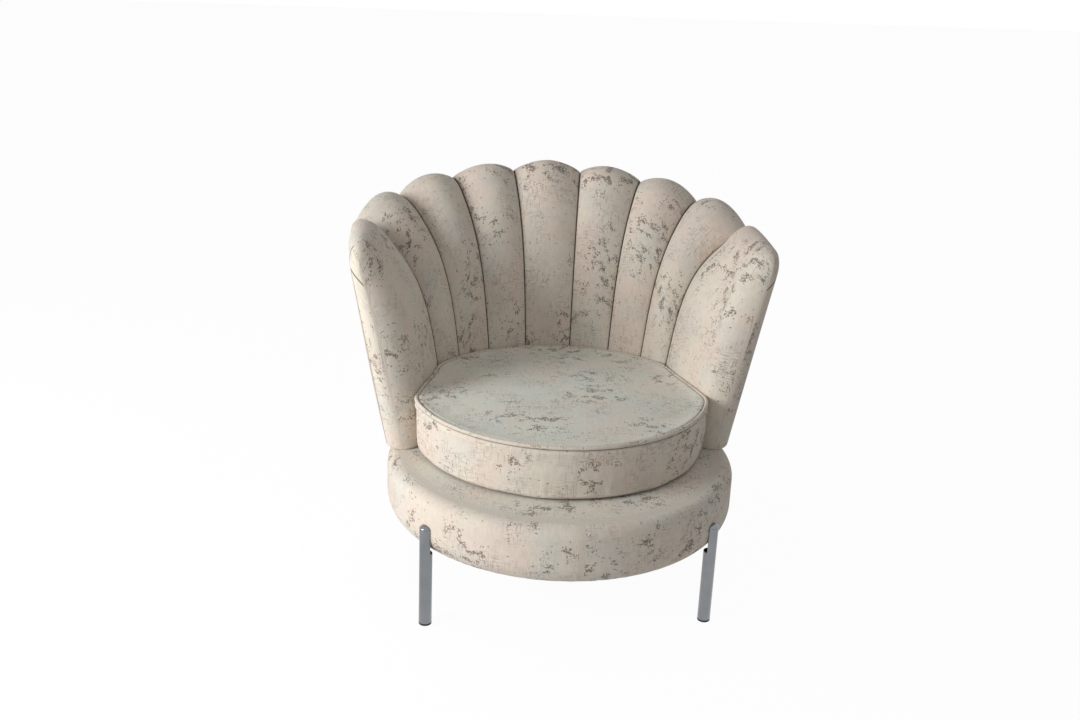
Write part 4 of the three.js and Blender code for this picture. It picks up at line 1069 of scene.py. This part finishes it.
def makeSmallWork(s):
    b = back
    turns = np.linspace(-b["shellEnd"], b["shellEnd"], 241)
    heights = np.array([seamHeight(abs(a), fullnessAt(a)) for a in turns])
    radii = np.array([outerRadius(abs(a), 1) for a in turns]) - cover["proud"]
    angles = np.radians([float(fanned(a, h)) for a, h in zip(turns, heights)])
    seam = polar(radii, angles, heights)
    barsAlong("closingStitches", seam, "thread", False, s["stitches"])
    ring = np.linspace(0, 2 * math.pi, 121)[:-1]
    rim = polar(0 * ring + drum["mouth"] - s["stapleInset"], ring, drum["bottom"] + s["stapleRise"])
    barsAlong("dustClothStaples", rim, "zinc", True, s["staples"])
    behind = np.radians(np.linspace(-s["zipTurn"], s["zipTurn"], 85))
    radii = [faceRadiusAt(abs(math.degrees(a)), s["zipHeight"]) - seat["sideGap"] for a in behind]
    tape = polar(np.array(radii) + 0.001, behind, s["zipHeight"])
    barsAlong("seatZipTeeth", tape, "zinc", False, s["zipTeeth"])


makeSmallWork(smallWork)
print("stitches, staples and zip made")

# CAD parts that stay hidden inside keep their meshes and get their finishes
hiddenFinishes = {"zinc": ("leg_bolt", "shell_bolt"), "webbing": ("webbing",), "zipTape": ("seat_zip",),
                  "plywood": ("drum_board", "drum_hoop", "drum_ring", "leg_block", "shell_panel",
                              "shell_rail", "back_rib")}
for name, obj in nodes.items():
    for finish, starts in hiddenFinishes.items():
        if name.startswith(starts):
            obj.data.materials.clear()
            obj.data.materials.append(finishes[finish])


# Stage: a white floor and surround, a window-like key from the left
stage = {"floor": 0.80, "floorGlow": 0.94, "world": 0.36, "key": 92, "keyPlace": (-2.95, -1.2, 1.3),
         "keyAim": (0, 0, 0.45), "keySize": 1.6, "glow": 1.02, "reach": 12}


def isSeen(tree):
    path = addNode(tree, "ShaderNodeLightPath").outputs
    seen = mathNode(tree, "MAXIMUM", path["Is Camera Ray"], path["Is Glossy Ray"])
    return mathNode(tree, "MAXIMUM", seen, path["Is Transmission Ray"])


def makeStage(s):
    material = bpy.data.materials.new("paleFloor")
    tree = clearedTree(material)
    diffuse = addNode(tree, "ShaderNodeBsdfDiffuse", {"Color": (s["floor"], s["floor"], s["floor"], 1)})
    glow = addNode(tree, "ShaderNodeEmission", {"Color": (1, 1, 1, 1), "Strength": s["glow"]})
    share = mathNode(tree, "MULTIPLY", isSeen(tree), s["floorGlow"])
    mix = addNode(tree, "ShaderNodeMixShader", {0: share, 1: diffuse.outputs[0], 2: glow.outputs[0]})
    addNode(tree, "ShaderNodeOutputMaterial", {"Surface": mix.outputs[0]})
    r = s["reach"]
    corner = [(-r, -r, 0), (r, -r, 0), (r, r, 0), (-r, r, 0)]
    floor = newObject("studioFloor", meshFrom("studioFloor", corner, [(0, 1, 2, 3)]))
    floor.data.materials.append(material)
    world = bpy.data.worlds.new("studioWorld")
    bpy.context.scene.world = world
    tree = clearedTree(world)
    strength = scaledNode(tree, isSeen(tree), 1.0 - s["world"], s["world"])
    sky = addNode(tree, "ShaderNodeBackground", {"Color": (1, 1, 1, 1), "Strength": strength})
    addNode(tree, "ShaderNodeOutputWorld", {"Surface": sky.outputs[0]})
    data = bpy.data.lights.new("keyLamp", "AREA")
    data.shape = "SQUARE"
    data.size = s["keySize"]
    data.energy = s["key"]
    lamp = newObject("keyLamp", data)
    turn = (Vector(s["keyAim"]) - Vector(s["keyPlace"])).to_track_quat("-Z", "Y")
    lamp.matrix_world = Matrix.Translation(s["keyPlace"]) @ turn.to_matrix().to_4x4()


makeStage(stage)
bpy.context.scene.view_settings.view_transform = "Standard"
